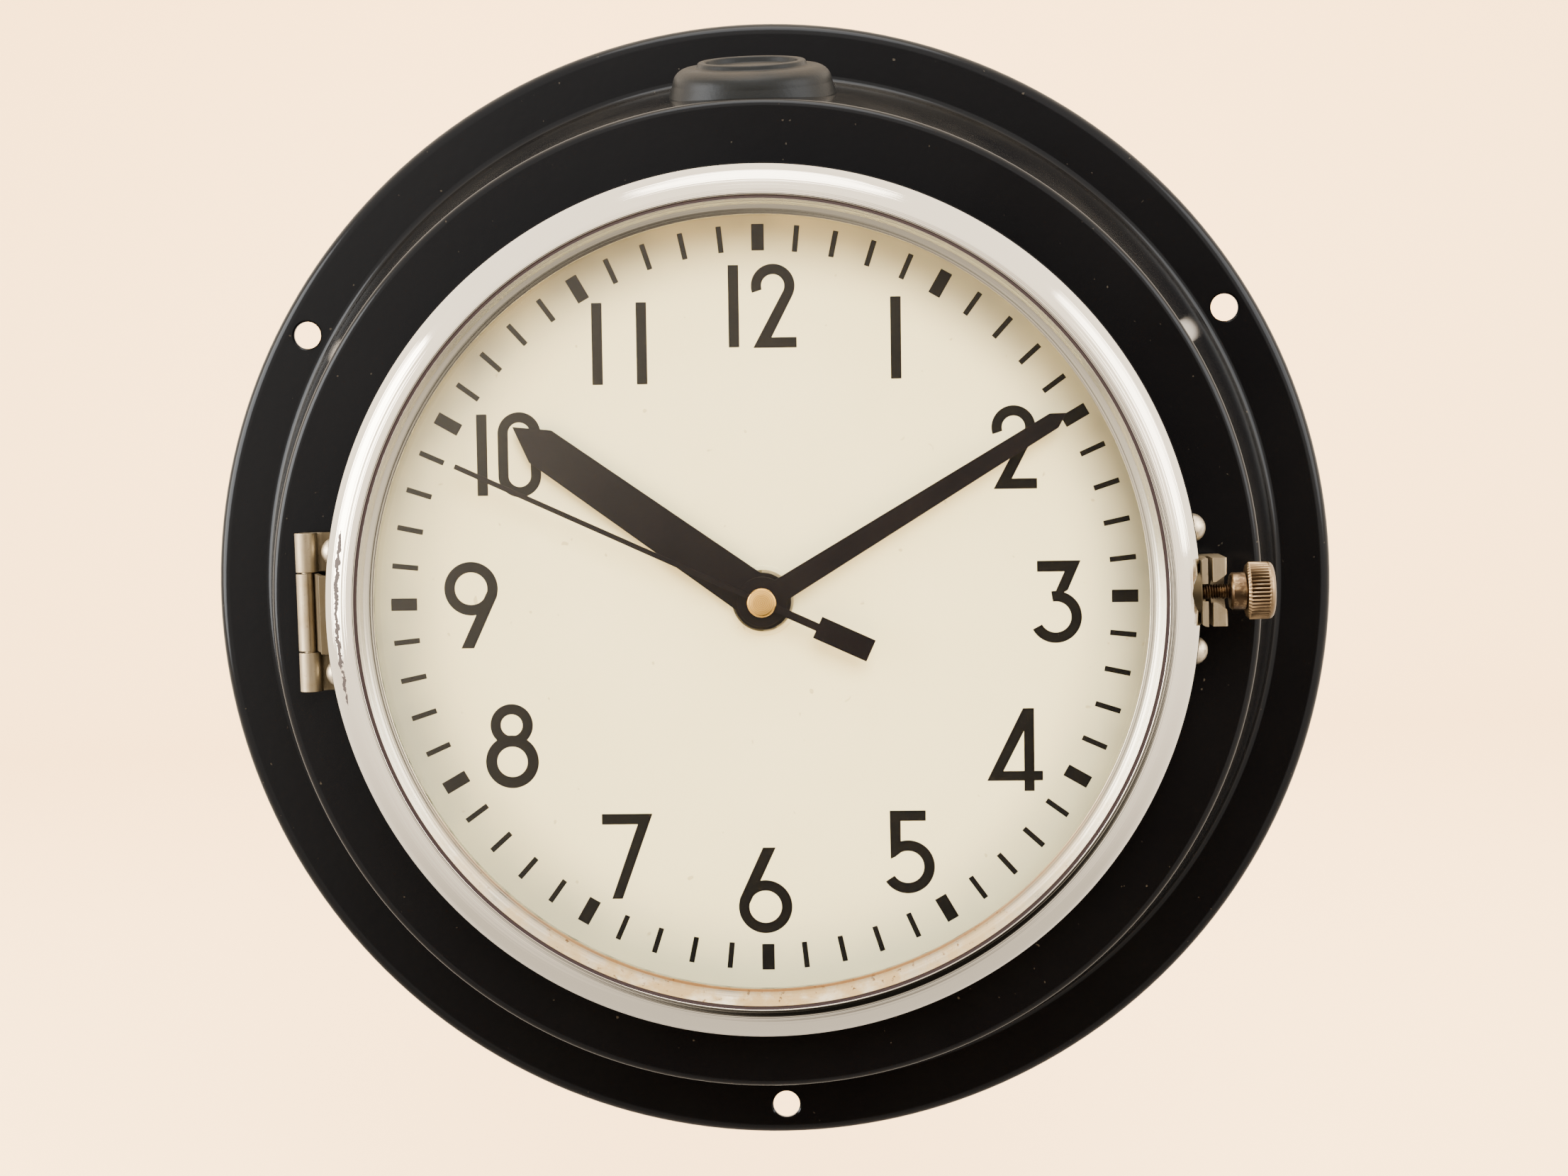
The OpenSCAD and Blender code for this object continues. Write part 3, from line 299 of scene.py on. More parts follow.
# Moulded rubber keeps a dull grey skin; dust lies on its upper faces and packs round the raised ring.
pores = add(tree, "TexNoise", {"Vector": at, "Scale": every(0.8), "Detail": 3.0, "Roughness": 0.6})
bloom = add(tree, "TexNoise", {"Vector": at, "Scale": every(9), "Detail": 4.0, "Roughness": 0.65})
facing = add(tree, "SeparateXYZ", {"Vector": add(tree, "NewGeometry", {}).outputs["Normal"]})
upward = add(tree, "MapRange", {"Value": facing.outputs["Z"], "From Min": 0.4, "From Max": 0.95})
speckle = add(tree, "MapRange", {"Value": bloom, "From Min": 0.3, "From Max": 0.7, "To Min": 0.35})
dust = add(tree, "Math", {0: upward, 1: speckle}, operation="MULTIPLY", use_clamp=True)
skin = add(tree, "Mix", {0: bloom, 6: "#070808", 7: "#0d0e0e"})
colour = add(tree, "Mix", {0: dust, 6: skin, 7: "#272420"})
rough = add(tree, "MapRange", {"Value": dust, "To Min": 0.4, "To Max": 0.9})
relief = add(tree, "Bump", {"Height": pores, "Strength": 0.2, "Distance": 0.0002})
shader = add(tree, "BsdfPrincipled", {"Base Color": colour, "Roughness": rough, "Normal": relief,
                                      "Specular IOR Level": 0.17, "Specular Tint": "#dae8ff"})
add(tree, "OutputMaterial", {"Surface": shader})

plug = lathe([
    (0.0, -6.0, 0.0),
    (17.25, -6.0, 0.0),
    (17.25, -1.0, 0.0),
    (16.5, 1.4, 1.6),
    (15.9, 4.6, 3.2),
    (11.5, 4.7, 0.6),
    (11.0, 5.8, 0.5),
    (9.6, 5.8, 0.5),
    (9.0, 4.5, 0.5),
    (0.0, 4.5, 0.0),
], segments=6, steps=96)
set_at(plug, on_drum)
drum_blank = lathe([
    (0.0, -1.0, 0.0),
    (flange_r, -1.0, 0.0),
    (flange_r, flange_z, 2.5),
    (foot_r, flange_z, root_round),
    (ridge_r, ring_z, ridge_round),
    (0.0, ring_z, 0.0),
], steps=216)
plug = carve(plug, drum_blank)
groove = lathe([
    (0.0, -4.0, 0.0),
    (12.2, -4.0, 0.5),
    (12.4, -2.5, 0.4),
    (10.8, -2.3, 0.2),
    (10.8, 1.5, 0.0),
    (0.0, 1.5, 0.0),
], segments=4, steps=64)
set_at(groove, on_drum)
plug = carve(plug, groove, "UNION")
piece(plug, "cable_blank", "case", "rubber", plug_rubber, "cable_plug")


# Bezel gasket: a rubber channel pushed over the neck's raw edge, which the closed bezel nearly touches.
# Cut from a plain black extrusion, so its edges are only slightly rounded.
gasket_rubber, tree, at = new_finish("extruded_black_rubber")
# Extruded rubber is a smooth dull black, with faint greyish bloom in patches.
bloom = add(tree, "TexNoise", {"Vector": at, "Scale": every(12), "Detail": 4.0, "Roughness": 0.6})
fine = add(tree, "TexNoise", {"Vector": at, "Scale": every(0.5), "Detail": 2.0})
colour = add(tree, "Mix", {0: bloom, 6: "#161616", 7: "#2a2a28"})
relief = add(tree, "Bump", {"Height": fine, "Strength": 0.1, "Distance": 0.0001})
shader = add(tree, "BsdfPrincipled", {"Base Color": colour, "Roughness": 0.6, "Normal": relief, "IOR": 1.52})
add(tree, "OutputMaterial", {"Surface": shader})

gasket_in = 83.1
gasket_out = 86.3
gasket_z = 51.4
gasket_top = 53.7
gasket = lathe([
    (gasket_in, gasket_z, 0.2),
    (neck_r - sheet, gasket_z, 0.0),
    (neck_r - sheet, neck_z, 0.0),
    (neck_r, neck_z, 0.0),
    (neck_r, gasket_z, 0.0),
    (gasket_out, gasket_z, 0.2),
    (gasket_out, gasket_top, 0.45),
    (gasket_in, gasket_top, 0.45),
], segments=4)
piece(gasket, "neck_gasket", "case", "rubber", gasket_rubber, "bezel_gasket")


# Hinge case leaf: nickel-plated brass strip, bent round the neck at nine o'clock and riveted there. Its
# two ends run out and are rolled into the outer barrels, which leaves an open seam beside the web.
nickel_plate, tree, at = new_finish("worn_nickel_plate")
# Old nickel plate has a warm grey lustre, drawn lines along the strip and dull brown spots. In the corners
# where the hinge and the latch meet the bezel its colour is darkened as painted shade.
stretch = add(tree, "Mapping", {"Vector": at, "Scale": (1.0, 1.0, 0.06)})
drawn = add(tree, "TexNoise", {"Vector": stretch, "Scale": every(0.45), "Detail": 3.0, "Roughness": 0.7})
tarnish = add(tree, "TexNoise", {"Vector": at, "Scale": every(5), "Detail": 5.0, "Roughness": 0.65})
stained = add(tree, "MapRange", {"Value": tarnish, "From Min": 0.5, "From Max": 0.78, "To Max": 0.8})
pits = add(tree, "TexNoise", {"Vector": at, "Scale": every(1.1), "Detail": 3.0, "Roughness": 0.6})
pitted = add(tree, "MapRange", {"Value": pits, "From Min": 0.63, "From Max": 0.75, "To Max": 0.6})
plate = add(tree, "Mix", {0: drawn, 6: "#8c816c", 7: "#a89d88"})
spotted = add(tree, "Mix", {0: stained, 6: plate, 7: "#857559"})
worn = add(tree, "Mix", {0: pitted, 6: spotted, 7: "#5a4c38"})
across = add(tree, "SeparateXYZ", {"Vector": at})
# Painted shade: the colour darkens on the hinge's web and foot and round the bezel's latch notch.
shade_inward = add(tree, "MapRange", {"Value": across.outputs["X"], "From Min": -0.0896, "From Max": -0.0886,
                               "To Max": 0.8})
hinge_side = add(tree, "Math", {0: across.outputs["X"], 1: 0.0}, operation="LESS_THAN")
shade_by_hinge = add(tree, "Math", {0: shade_inward, 1: hinge_side}, operation="MULTIPLY")
shade_in_notch = add(tree, "Math", {0: across.outputs["X"], 1: 0.0845, 2: 0.0017}, operation="COMPARE")
painted_corner_shade = add(tree, "Math", {0: shade_by_hinge, 1: shade_in_notch}, operation="MAXIMUM")
colour = add(tree, "Mix", {0: painted_corner_shade, 6: worn, 7: "#443d2f"})
rough = add(tree, "MapRange", {"Value": tarnish, "To Min": 0.34, "To Max": 0.56})
lines = add(tree, "Bump", {"Height": drawn, "Strength": 0.12, "Distance": 0.0001})
relief = add(tree, "Bump", {"Height": pitted, "Strength": 0.2, "Distance": 0.0001, "Normal": lines},
             invert=True)
shader = add(tree, "BsdfPrincipled", {"Base Color": colour, "Metallic": 1.0, "Roughness": rough,
                                      "Normal": relief})
add(tree, "OutputMaterial", {"Surface": shader})

strap_z = 44.2
strap_top = 51.2
pin_x = -91.7
pin_z = 46.5
barrel_r = 2.3
mid_half = 7.8
barrel_start = mid_half + 0.3
barrel_end = 16.0
strap_turn = math.degrees(math.asin(barrel_end / strap_r))


def bent_strap(side):
    """Strip bent round the neck, centred on a direction round the dial."""
    bm = bmesh.new()
    rounded_face(bm, [(neck_r, strap_z, 0.1), (strap_r, strap_z, 0.25), (strap_r, strap_top, 0.25),
                      (neck_r, strap_top, 0.1)], 3)
    bmesh.ops.rotate(bm, verts=bm.verts[:], cent=(0, 0, 0),
                     matrix=Matrix.Rotation(math.radians(side - strap_turn), 3, "Z"))
    bmesh.ops.spin(bm, geom=bm.verts[:] + bm.edges[:] + bm.faces[:], cent=(0, 0, 0), axis=(0, 0, 1),
                   angle=math.radians(2 * strap_turn), steps=20)
    bmesh.ops.recalc_face_normals(bm, faces=bm.faces[:])
    return bm


def round_edges(bm, edges, width, segments):
    """Rounds the edges given."""
    bmesh.ops.bevel(bm, geom=edges, offset=width, offset_type="OFFSET", affect="EDGES", segments=segments,
                    profile=0.5, material=-1, clamp_overlap=True)


def ease_edges(bm, width, over=40):
    """Rounds every edge that is sharper than an angle in degrees."""
    sharp = [edge for edge in bm.edges if edge.is_manifold and edge.calc_face_angle(0) > math.radians(over)]
    round_edges(bm, sharp, width, 2)


def pick(geom, kind):
    """The verts, edges or faces in an operator's result."""
    return [item for item in geom if isinstance(item, kind)]


def pull_edges(bm, edges, by):
    """Pulls edges out into faces, and gives the far verts and edges."""
    pulled = bmesh.ops.extrude_edge_only(bm, edges=edges)["geom"]
    bmesh.ops.translate(bm, verts=pick(pulled, BMVert), vec=by)
    return pick(pulled, BMVert) + pick(pulled, BMEdge)


def pull_faces(bm, by):
    """Pulls every face of a flat drawing out into a solid."""
    pulled = bmesh.ops.extrude_face_region(bm, geom=bm.faces[:])["geom"]
    bmesh.ops.translate(bm, verts=pick(pulled, BMVert), vec=by)
    bmesh.ops.recalc_face_normals(bm, faces=bm.faces[:])


def roll_strip(web, across, start, length, turned):
    """Strip rolled into a barrel round the hinge pin: a pen edge is pulled along the web, then turned."""
    bm = bmesh.new()
    pen = bm.edges.new([bm.verts.new(web), bm.verts.new(Vector(web) + Vector(across))])
    lead = pull_edges(bm, [pen], Vector(start) - Vector(web))
    bmesh.ops.spin(bm, geom=lead, cent=(pin_x, web[1], pin_z), axis=(0, 1, 0), angle=math.radians(turned),
                   steps=28)
    bmesh.ops.remove_doubles(bm, verts=bm.verts[:], dist=0.0005)
    pull_faces(bm, (0, length, 0))
    return bm


case_leaf = bent_strap(180)
for barrel_y in (-barrel_end, barrel_start):
    barrel = roll_strip((-neck_r - 0.6, barrel_y, strap_z), (0, 0, strip), (pin_x, barrel_y, strap_z),
                        barrel_end - barrel_start, 288)
    ease_edges(barrel, 0.14)
    join(case_leaf, barrel)
piece(case_leaf, "hinge_leaf_on_case", "case", "nickel", nickel_plate, "hinge_case_leaf")


# Rivets: soft nickel-plated brass, four in all, with a domed head outside the strap and a shank through
# strap and neck. Two hold the hinge leaf and two the latch keeper.
burnished_nickel, tree, at = new_finish("burnished_nickel")
# A rivet snap burnishes the plate as it closes the dome, which leaves it pale with fine dark scuffs.
scuffs = add(tree, "TexNoise", {"Vector": at, "Scale": every(1.4), "Detail": 5.0, "Roughness": 0.7})
scuffed = add(tree, "MapRange", {"Value": scuffs, "From Min": 0.52, "From Max": 0.72})
colour = add(tree, "Mix", {0: scuffed, 6: "#d2c8b4", 7: "#847a66"})
rough = add(tree, "MapRange", {"Value": scuffs, "To Min": 0.25, "To Max": 0.55})
relief = add(tree, "Bump", {"Height": scuffs, "Strength": 0.15, "Distance": 0.0001})
shader = add(tree, "BsdfPrincipled", {"Base Color": colour, "Metallic": 1.0, "Roughness": rough,
                                      "Normal": relief})
add(tree, "OutputMaterial", {"Surface": shader})

dome_r = 2.9


def rivets(side):
    """Both rivets of a strap."""
    pair = bmesh.new()
    for turn in (-rivet_turn, rivet_turn):
        head = bmesh.new()
        bmesh.ops.create_uvsphere(head, u_segments=40, v_segments=40, radius=dome_r)
        bmesh.ops.bisect_plane(head, geom=head.verts[:] + head.edges[:] + head.faces[:],
                               plane_co=(0, 0, 0.02), plane_no=(0, 0, 1), clear_inner=True)
        bmesh.ops.holes_fill(head, edges=head.edges[:])
        ease_edges(head, 0.2)
        rod(head, shank_r, 2.2, Matrix.Translation((0, 0, -1.08)))
        set_at(head, outward(side + turn, strap_r, rivet_z))
        join(pair, head)
    return pair


piece(rivets(180), "hinge_rivets", "case", "nickel", burnished_nickel, "hinge_case_rivets")


# Hinge pin: drawn wire of nickel-plated brass through all three barrels, flush with their ends, where it is
# peened over so that it can't slide out.
pin_r = 1.2
pin = lathe([
    (0.0, -barrel_end, 0.0),
    (pin_r, -barrel_end, 0.35),
    (pin_r, barrel_end, 0.35),
    (0.0, barrel_end, 0.0),
], segments=4, steps=40)
along_pin = Matrix.Translation((pin_x, 0, pin_z)) @ Matrix.Rotation(math.radians(90), 4, "X")
set_at(pin, along_pin)
piece(pin, "hinge_wire", "case", "nickel", nickel_plate, "hinge_pin")


# Latch keeper: a cast block soldered to a strap on the neck at three o'clock. Its two prongs stand up past
# the bezel's edge, and the slot between them, bevelled at its mouth, takes the latch screw from the front.
screw_z = 56.6
prong_in = 88.3
prong_out = 91.2
prong_top = 58.4
latch_half = 6.7
slot_r = 2.0
along_screw = Matrix.Translation((0, 0, screw_z)) @ Matrix.Rotation(math.radians(90), 4, "Y")


def block(bm, place, sizes):
    """Adds a box of three sizes, centred on a place."""
    bmesh.ops.create_cube(bm, size=1.0, matrix=place @ Matrix.Diagonal((*sizes, 1.0)))
    return bm


keeper = bmesh.new()
rounded_face(keeper, [
    (neck_r + 0.4, strap_z, 0.0),
    (prong_out, strap_z, 0.5),
    (prong_out, prong_top, 0.5),
    (prong_in, prong_top, 0.3),
    (prong_in, strap_top, 0.8),
    (neck_r + 0.4, strap_top, 0.0),
], 4)
bmesh.ops.translate(keeper, verts=keeper.verts[:], vec=(0, -latch_half, 0))
pull_faces(keeper, (0, 2 * latch_half, 0))
slot_round = rod(bmesh.new(), slot_r, 12.0, along_screw @ Matrix.Translation((0, 0, prong_out)), 48)
slot_gap = block(bmesh.new(), Matrix.Translation((prong_out, 0, screw_z + 3.0)),
                 (12.5, 2 * slot_r - 0.02, 6.0))
slot_mouth = bmesh.new()
bmesh.ops.create_cone(slot_mouth, cap_ends=True, segments=48, radius1=0.0, radius2=5.08, depth=8.9,
                      matrix=along_screw @ Matrix.Translation((0, 0, prong_out - 2.45)))
for cutter in (slot_round, slot_gap, slot_mouth):
    keeper = carve(keeper, cutter)
outer = [edge for edge in keeper.edges
         if all(abs(abs(v.co.y) - latch_half) < 0.01 and v.co.x > prong_out - 1.0 for v in edge.verts)
         and abs(edge.verts[0].co.z - edge.verts[1].co.z) > 4.0]
round_edges(keeper, outer, 1.0, 4)
ease_edges(keeper, 0.16)
join(keeper, bent_strap(0))
piece(keeper, "latch_keeper_block", "case", "nickel", nickel_plate, "latch_keeper")
piece(rivets(0), "keeper_rivets", "case", "nickel", burnished_nickel, "latch_keeper_rivets")


# Dial carrier and dial screws: a zinc-plated steel ring spot-welded inside the neck, and four short
# cheese-head screws that hold the dial to it under the bezel's lip.
zinc_plate, tree, at = new_finish("zinc_plated_steel")
# Zinc plate is a pale bluish grey, dulled in soft patches, with rolling marks under it.
dull = add(tree, "TexNoise", {"Vector": at, "Scale": every(6), "Detail": 4.0, "Roughness": 0.6})
stretch = add(tree, "Mapping", {"Vector": at, "Scale": (0.08, 1.0, 1.0)})
rolled = add(tree, "TexNoise", {"Vector": stretch, "Scale": every(0.5), "Detail": 2.0})
colour = add(tree, "Mix", {0: dull, 6: "#9a9c9f", 7: "#c2c4c6"})
rough = add(tree, "MapRange", {"Value": dull, "To Min": 0.25, "To Max": 0.48})
relief = add(tree, "Bump", {"Height": rolled, "Strength": 0.1, "Distance": 0.0001})
shader = add(tree, "BsdfPrincipled", {"Base Color": colour, "Metallic": 1.0, "Roughness": rough,
                                      "Normal": relief})
add(tree, "OutputMaterial", {"Surface": shader})


def redress(name, finish):
    """Gives a CAD node that stays its better finish."""
    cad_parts[name].data.materials.clear()
    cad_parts[name].data.materials.append(finish)


redress("dial_carrier", zinc_plate)
dial_z = 47.0
screw_tip = 44.8
screw_top = 48.2
screw_ring = 81.3
dial_screw_set = bmesh.new()
for screw_angle in (45, 135, 225, 315):
    screw = lathe([
        (0.0, screw_tip, 0.0),
        (1.2, screw_tip, 0.25),
        (1.2, dial_z, 0.0),
        (1.9, dial_z, 0.0),
        (1.9, screw_top, 0.3),
        (0.0, screw_top, 0.0),
    ], segments=3, steps=32)
    screw = carve(screw, block(bmesh.new(), Matrix.Translation((0, 0, screw_top)), (5.0, 0.6, 1.2)))
    set_at(screw, round_dial(screw_angle, screw_ring))
    join(dial_screw_set, screw)
piece(dial_screw_set, "dial_cheese_heads", "case", "plain_steel", zinc_plate, "dial_screws")


# Dial: a flat steel disc, sprayed matt ivory. Its colour is darkened towards the rim as painted shade
# from the bezel's lip, and least at the bottom.


def off_axis(tree, spot):
    """Distance of a separated position from the dial's axis."""
    flat_at = add(tree, "CombineXYZ", {"X": spot.outputs["X"], "Y": spot.outputs["Z"]})
    return add(tree, "VectorMath", {0: flat_at}, operation="LENGTH").outputs["Value"]


ivory_paint, tree, at = new_finish("matt_ivory_dial_paint")
# Sprayed paint is even and slightly eggshell, with a faint mottle and a few fine specks.
spot = add(tree, "SeparateXYZ", {"Vector": at})
from_axis = off_axis(tree, spot)
mottle = add(tree, "TexNoise", {"Vector": at, "Scale": every(26), "Detail": 3.0, "Roughness": 0.55})
spray = add(tree, "TexNoise", {"Vector": at, "Scale": every(0.5), "Detail": 2.0})
# Painted shade: the paint's colour darkens to grey-green across the outer rim, less at the bottom.
rim_shade = add(tree, "MapRange", {"Value": from_axis, "From Min": 0.060, "From Max": 0.0775},
          interpolation_type="SMOOTHSTEP")
patchy = add(tree, "MapRange", {"Value": mottle, "From Min": 0.3, "From Max": 0.7,
                                "To Min": 0.55, "To Max": 0.95})
shade_by_height = add(tree, "MapRange", {"Value": spot.outputs["Z"], "From Min": -0.075, "From Max": 0.0,
                                "To Min": 0.45, "To Max": 1.0})
shade_spread = add(tree, "Math", {0: patchy, 1: shade_by_height}, operation="MULTIPLY")
painted_rim_shade = add(tree, "Math", {0: rim_shade, 1: shade_spread}, operation="MULTIPLY")
flyspeck = add(tree, "TexNoise", {"Vector": at, "Scale": every(2.2), "Detail": 1.0})
speck = add(tree, "MapRange", {"Value": flyspeck, "From Min": 0.765, "From Max": 0.8, "To Max": 0.5})
coat = add(tree, "Mix", {0: mottle, 6: "#d2c9a6", 7: "#dad1b1"})
dulled = add(tree, "Mix", {0: painted_rim_shade, 6: coat, 7: "#787974"})
colour = add(tree, "Mix", {0: speck, 6: dulled, 7: "#8b7b60"})
relief = add(tree, "Bump", {"Height": spray, "Strength": 0.05, "Distance": 0.0001})
shader = add(tree, "BsdfPrincipled", {"Base Color": colour, "Roughness": 0.5, "Normal": relief, "IOR": 1.48})
add(tree, "OutputMaterial", {"Surface": shader})
redress("dial_plate", ivory_paint)


# Dial print: hour bars, minute strokes and the twelve plain numbers, screen-printed in black ink that
# stands a few hundredths of a millimetre proud of the paint.
screen_ink, tree, at = new_finish("black_screen_ink")
# Screen ink dries to a flat black that is slightly uneven in thickness.
uneven = add(tree, "TexNoise", {"Vector": at, "Scale": every(3), "Detail": 4.0, "Roughness": 0.6})
colour = add(tree, "Mix", {0: uneven, 6: "#050405", 7: "#0b0a0b"})
rough = add(tree, "MapRange", {"Value": uneven, "To Min": 0.4, "To Max": 0.62})
shader = add(tree, "BsdfPrincipled", {"Base Color": colour, "Roughness": rough, "Specular IOR Level": 0.08})
add(tree, "OutputMaterial", {"Surface": shader})

ink = 0.03
# The dial sits nearly a degree out of square in its case.
dial_turn = Matrix.Rotation(math.radians(-0.85), 4, "Z")
mark_out = 74.9
mark_l = 5.25
hour_w = 2.5
minute_w = 1.06
mark_middle = Matrix.Translation((0, mark_out - mark_l / 2, dial_z + ink / 2))
marks = bmesh.new()
for minute in range(60):
    mark_w = hour_w if minute % 5 == 0 else minute_w
    mark_turn = dial_turn @ Matrix.Rotation(math.radians(-6 * minute), 4, "Z")
    block(marks, mark_turn @ mark_middle, (mark_w, mark_l, ink))
piece(marks, "minute_marks", "case", "dial_enamel", screen_ink)

# Strokes of the numbers: a plate is ("plate", corners), and a bow is ("bow", centre, middle radius, width,
# start, end) with its angles anticlockwise from three o'clock.
tall = 8.15
one = [("plate", [(-1.05, -tall), (1.05, -tall), (1.05, tall), (-1.05, tall)])]
two = [("bow", (-0.13, 3.93), 3.33, 2.05, -28.6, 198),
       ("plate", [(1.89, 2.83), (-4.18, -8.33), (4.49, -8.33), (4.49, -6.27), (-0.5, -6.27), (3.7, 1.84)])]
three = [("plate", [(-3.9, 8.23), (-3.9, 6.05), (1.56, 6.05), (-0.88, 0.63), (2.2, 2.32), (4.8, 8.23)]),
         ("bow", (-0.23, -3.04), 4.16, 2.1, -152, 100)]
four = [("plate", [(1.87, -8.36), (3.91, -8.36), (3.91, 8.36), (1.87, 8.36)]),
        ("plate", [(-5.6, -6.25), (5.6, -6.25), (5.6, -4.3), (-4.6, -4.3)]),
        ("plate", [(1.7, 8.36), (-5.6, -6.25), (-3.3, -6.25), (2.2, 4.4), (2.2, 8.36)])]
five = [("plate", [(-3.9, 8.44), (-3.8, -1.35), (-2.9, -0.95), (-1.72, -0.06), (-1.72, 6.33), (3.34, 6.33),
                   (3.34, 8.44)]),
        ("bow", (-0.32, -2.99), 4.32, 2.14, -147, 128)]
six = [("bow", (0.0, -3.34), 4.34, 2.12, 0, 360),
       ("plate", [(-0.37, 8.7), (-5.24, -1.79), (-3.2, -2.7), (-0.86, 2.18), (2.22, 8.7)])]
seven = [("plate", [(-5.13, 8.65), (-5.13, 6.51), (2.11, 6.51), (-3.34, -8.65), (-1.2, -8.65), (5.13, 8.65)])]
eight = [("bow", (0.0, 4.25), 3.25, 2.08, 0, 360), ("bow", (0.0, -3.17), 4.22, 2.27, 0, 360)]
nought = [("bow", (0.0, 4.2), 3.28, 2.05, 0, 180), ("bow", (0.0, -4.2), 3.28, 2.05, 180, 360),
          ("plate", [(-4.3, -4.2), (-2.25, -4.2), (-2.25, 4.2), (-4.3, 4.2)]),
          ("plate", [(2.25, -4.2), (4.3, -4.2), (4.3, 4.2), (2.25, 4.2)])]


def print_strokes(strokes, place):
    """One printed figure as a thin solid, its strokes joined where they cross."""
    figure = None
    for kind, *shape in strokes:
        bm = bmesh.new()
        if kind == "plate":
            bm.faces.new([bm.verts.new((x, y, 0.0)) for x, y in shape[0]])
        else:
            (x, y), middle, width, start, end = shape
            heading = Vector((math.cos(math.radians(start)), math.sin(math.radians(start)), 0.0))
            reaches = (middle - width / 2, middle + width / 2)
            nib = [bm.verts.new(Vector((x, y, 0)) + heading * reach) for reach in reaches]
            bmesh.ops.spin(bm, geom=nib + [bm.edges.new(nib)], cent=(x, y, 0), axis=(0, 0, 1),
                           angle=math.radians(end - start), steps=round((end - start) / 5),
                           use_merge=end - start == 360)
            bmesh.ops.remove_doubles(bm, verts=bm.verts[:], dist=0.0005)
        pull_faces(bm, (0, 0, ink))
        figure = bm if figure is None else carve(figure, bm, "UNION")
    set_at(figure, place)
    return figure


number_r = 58.7
# The nine is the six turned half round.
half_turn = Matrix.Rotation(math.pi, 4, "Z")
# From twelve on: the angle of each number, and its figures with their shifts to the right.
numbers = [
    (0.0, [(one, -5.0), (two, 3.0)]),
    (27.6, [(one, 0.0)]),
    (59.3, [(two, 0.0)]),
    (91.0, [(three, 0.0)]),
    (121.5, [(four, 0.0)]),
    (150.7, [(five, 0.0)]),
    (180.4, [(six, 0.0)]),
    (208.6, [(seven, 0.0)]),
    (240.5, [(eight, 0.0)]),
    (269.7, [(six, 0.0)]),
    (300.5, [(one, -5.3), (nought, 2.2)]),
    (331.6, [(one, -4.45), (one, 4.45)]),
]
figures = bmesh.new()
for hour, (angle, row) in enumerate(numbers):
    middle = (number_r * math.sin(math.radians(angle)), number_r * math.cos(math.radians(angle)), dial_z)
    for strokes, shift in row:
        place = dial_turn @ Matrix.Translation(middle) @ Matrix.Translation((shift, 0, 0))
        join(figures, print_strokes(strokes, place @ half_turn if hour == 9 else place))
piece(figures, "hour_numbers", "case", "dial_enamel", screen_ink)


# Movement pad and housing: a rubber ring between dial and movement, and the black ABS box of a quartz
# movement in two halves, the rear one a cover over the train that leaves the cell bay open.
moulded_abs, tree, at = new_finish("spark_textured_black_ABS")
# Spark-eroded tool steel leaves ABS with a fine even grain that scatters the highlights.
spark = add(tree, "TexNoise", {"Vector": at, "Scale": every(0.35), "Detail": 2.0, "Roughness": 0.6})
flow = add(tree, "TexNoise", {"Vector": at, "Scale": every(14), "Detail": 2.0})
colour = add(tree, "Mix", {0: flow, 6: "#1b1b1c", 7: "#262627"})
rough = add(tree, "MapRange", {"Value": spark, "To Min": 0.42, "To Max": 0.62})
relief = add(tree, "Bump", {"Height": spark, "Strength": 0.25, "Distance": 0.0001})
shader = add(tree, "BsdfPrincipled", {"Base Color": colour, "Roughness": rough, "IOR": 1.53,
                                      "Normal": relief})
add(tree, "OutputMaterial", {"Surface": shader})


def softened(node, name, body, slot, finish, width, over=40):
    """Copy of a CAD node with merged faces and eased edges, standing for the node."""
    bm = bmesh.new()
    bm.from_mesh(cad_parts[node].data)
    set_at(bm, hang.inverted())
    bmesh.ops.remove_doubles(bm, verts=bm.verts[:], dist=0.002)
    bmesh.ops.dissolve_limit(bm, angle_limit=math.radians(0.8), verts=bm.verts[:], edges=bm.edges[:])
    ease_edges(bm, width, over)
    return piece(bm, name, body, slot, finish, node)


redress("movement_pad", gasket_rubber)
softened("movement_front", "movement_box", "case", "housing_plastic", moulded_abs, 0.25)
softened("movement_rear", "movement_cover", "case", "housing_plastic", moulded_abs, 0.25)


# Dial washer and round nut: the movement's bush comes through the dial, and a steel washer, sprayed with
# the dial, and a nickel-plated brass nut with two slots across it clamp it there.
washer_top = 47.4
nut_top = 48.9
washer = lathe([
    (5.0, dial_z, 0.0),
    (7.05, dial_z, 0.0),
    (7.05, washer_top, 0.15),
    (5.0, washer_top, 0.1),
], segments=3, steps=72)
piece(washer, "dial_clamp_washer", "case", "plain_steel", ivory_paint, "dial_washer")
nut = lathe([
    (4.8, washer_top, 0.0),
    (6.15, washer_top, 0.15),
    (6.15, nut_top, 0.5),
    (4.8, nut_top, 0.15),
], segments=4, steps=72)
nut_slots = bmesh.new()
for slot_angle in (20, 110):
    block(nut_slots, round_dial(slot_angle, 0.0, nut_top), (14.0, 1.2, 1.2))
nut = carve(nut, nut_slots)
piece(nut, "dial_clamp_nut", "case", "brass", nickel_plate, "dial_nut")


# Motor and board: a lacquered copper coil on the stator's core, the stator of silicon steel, and a green
# lacquered board with its chip and crystal. All are clipped or welded on the cover's posts.
copper_winding, tree, at = new_finish("enamelled_copper_wire")
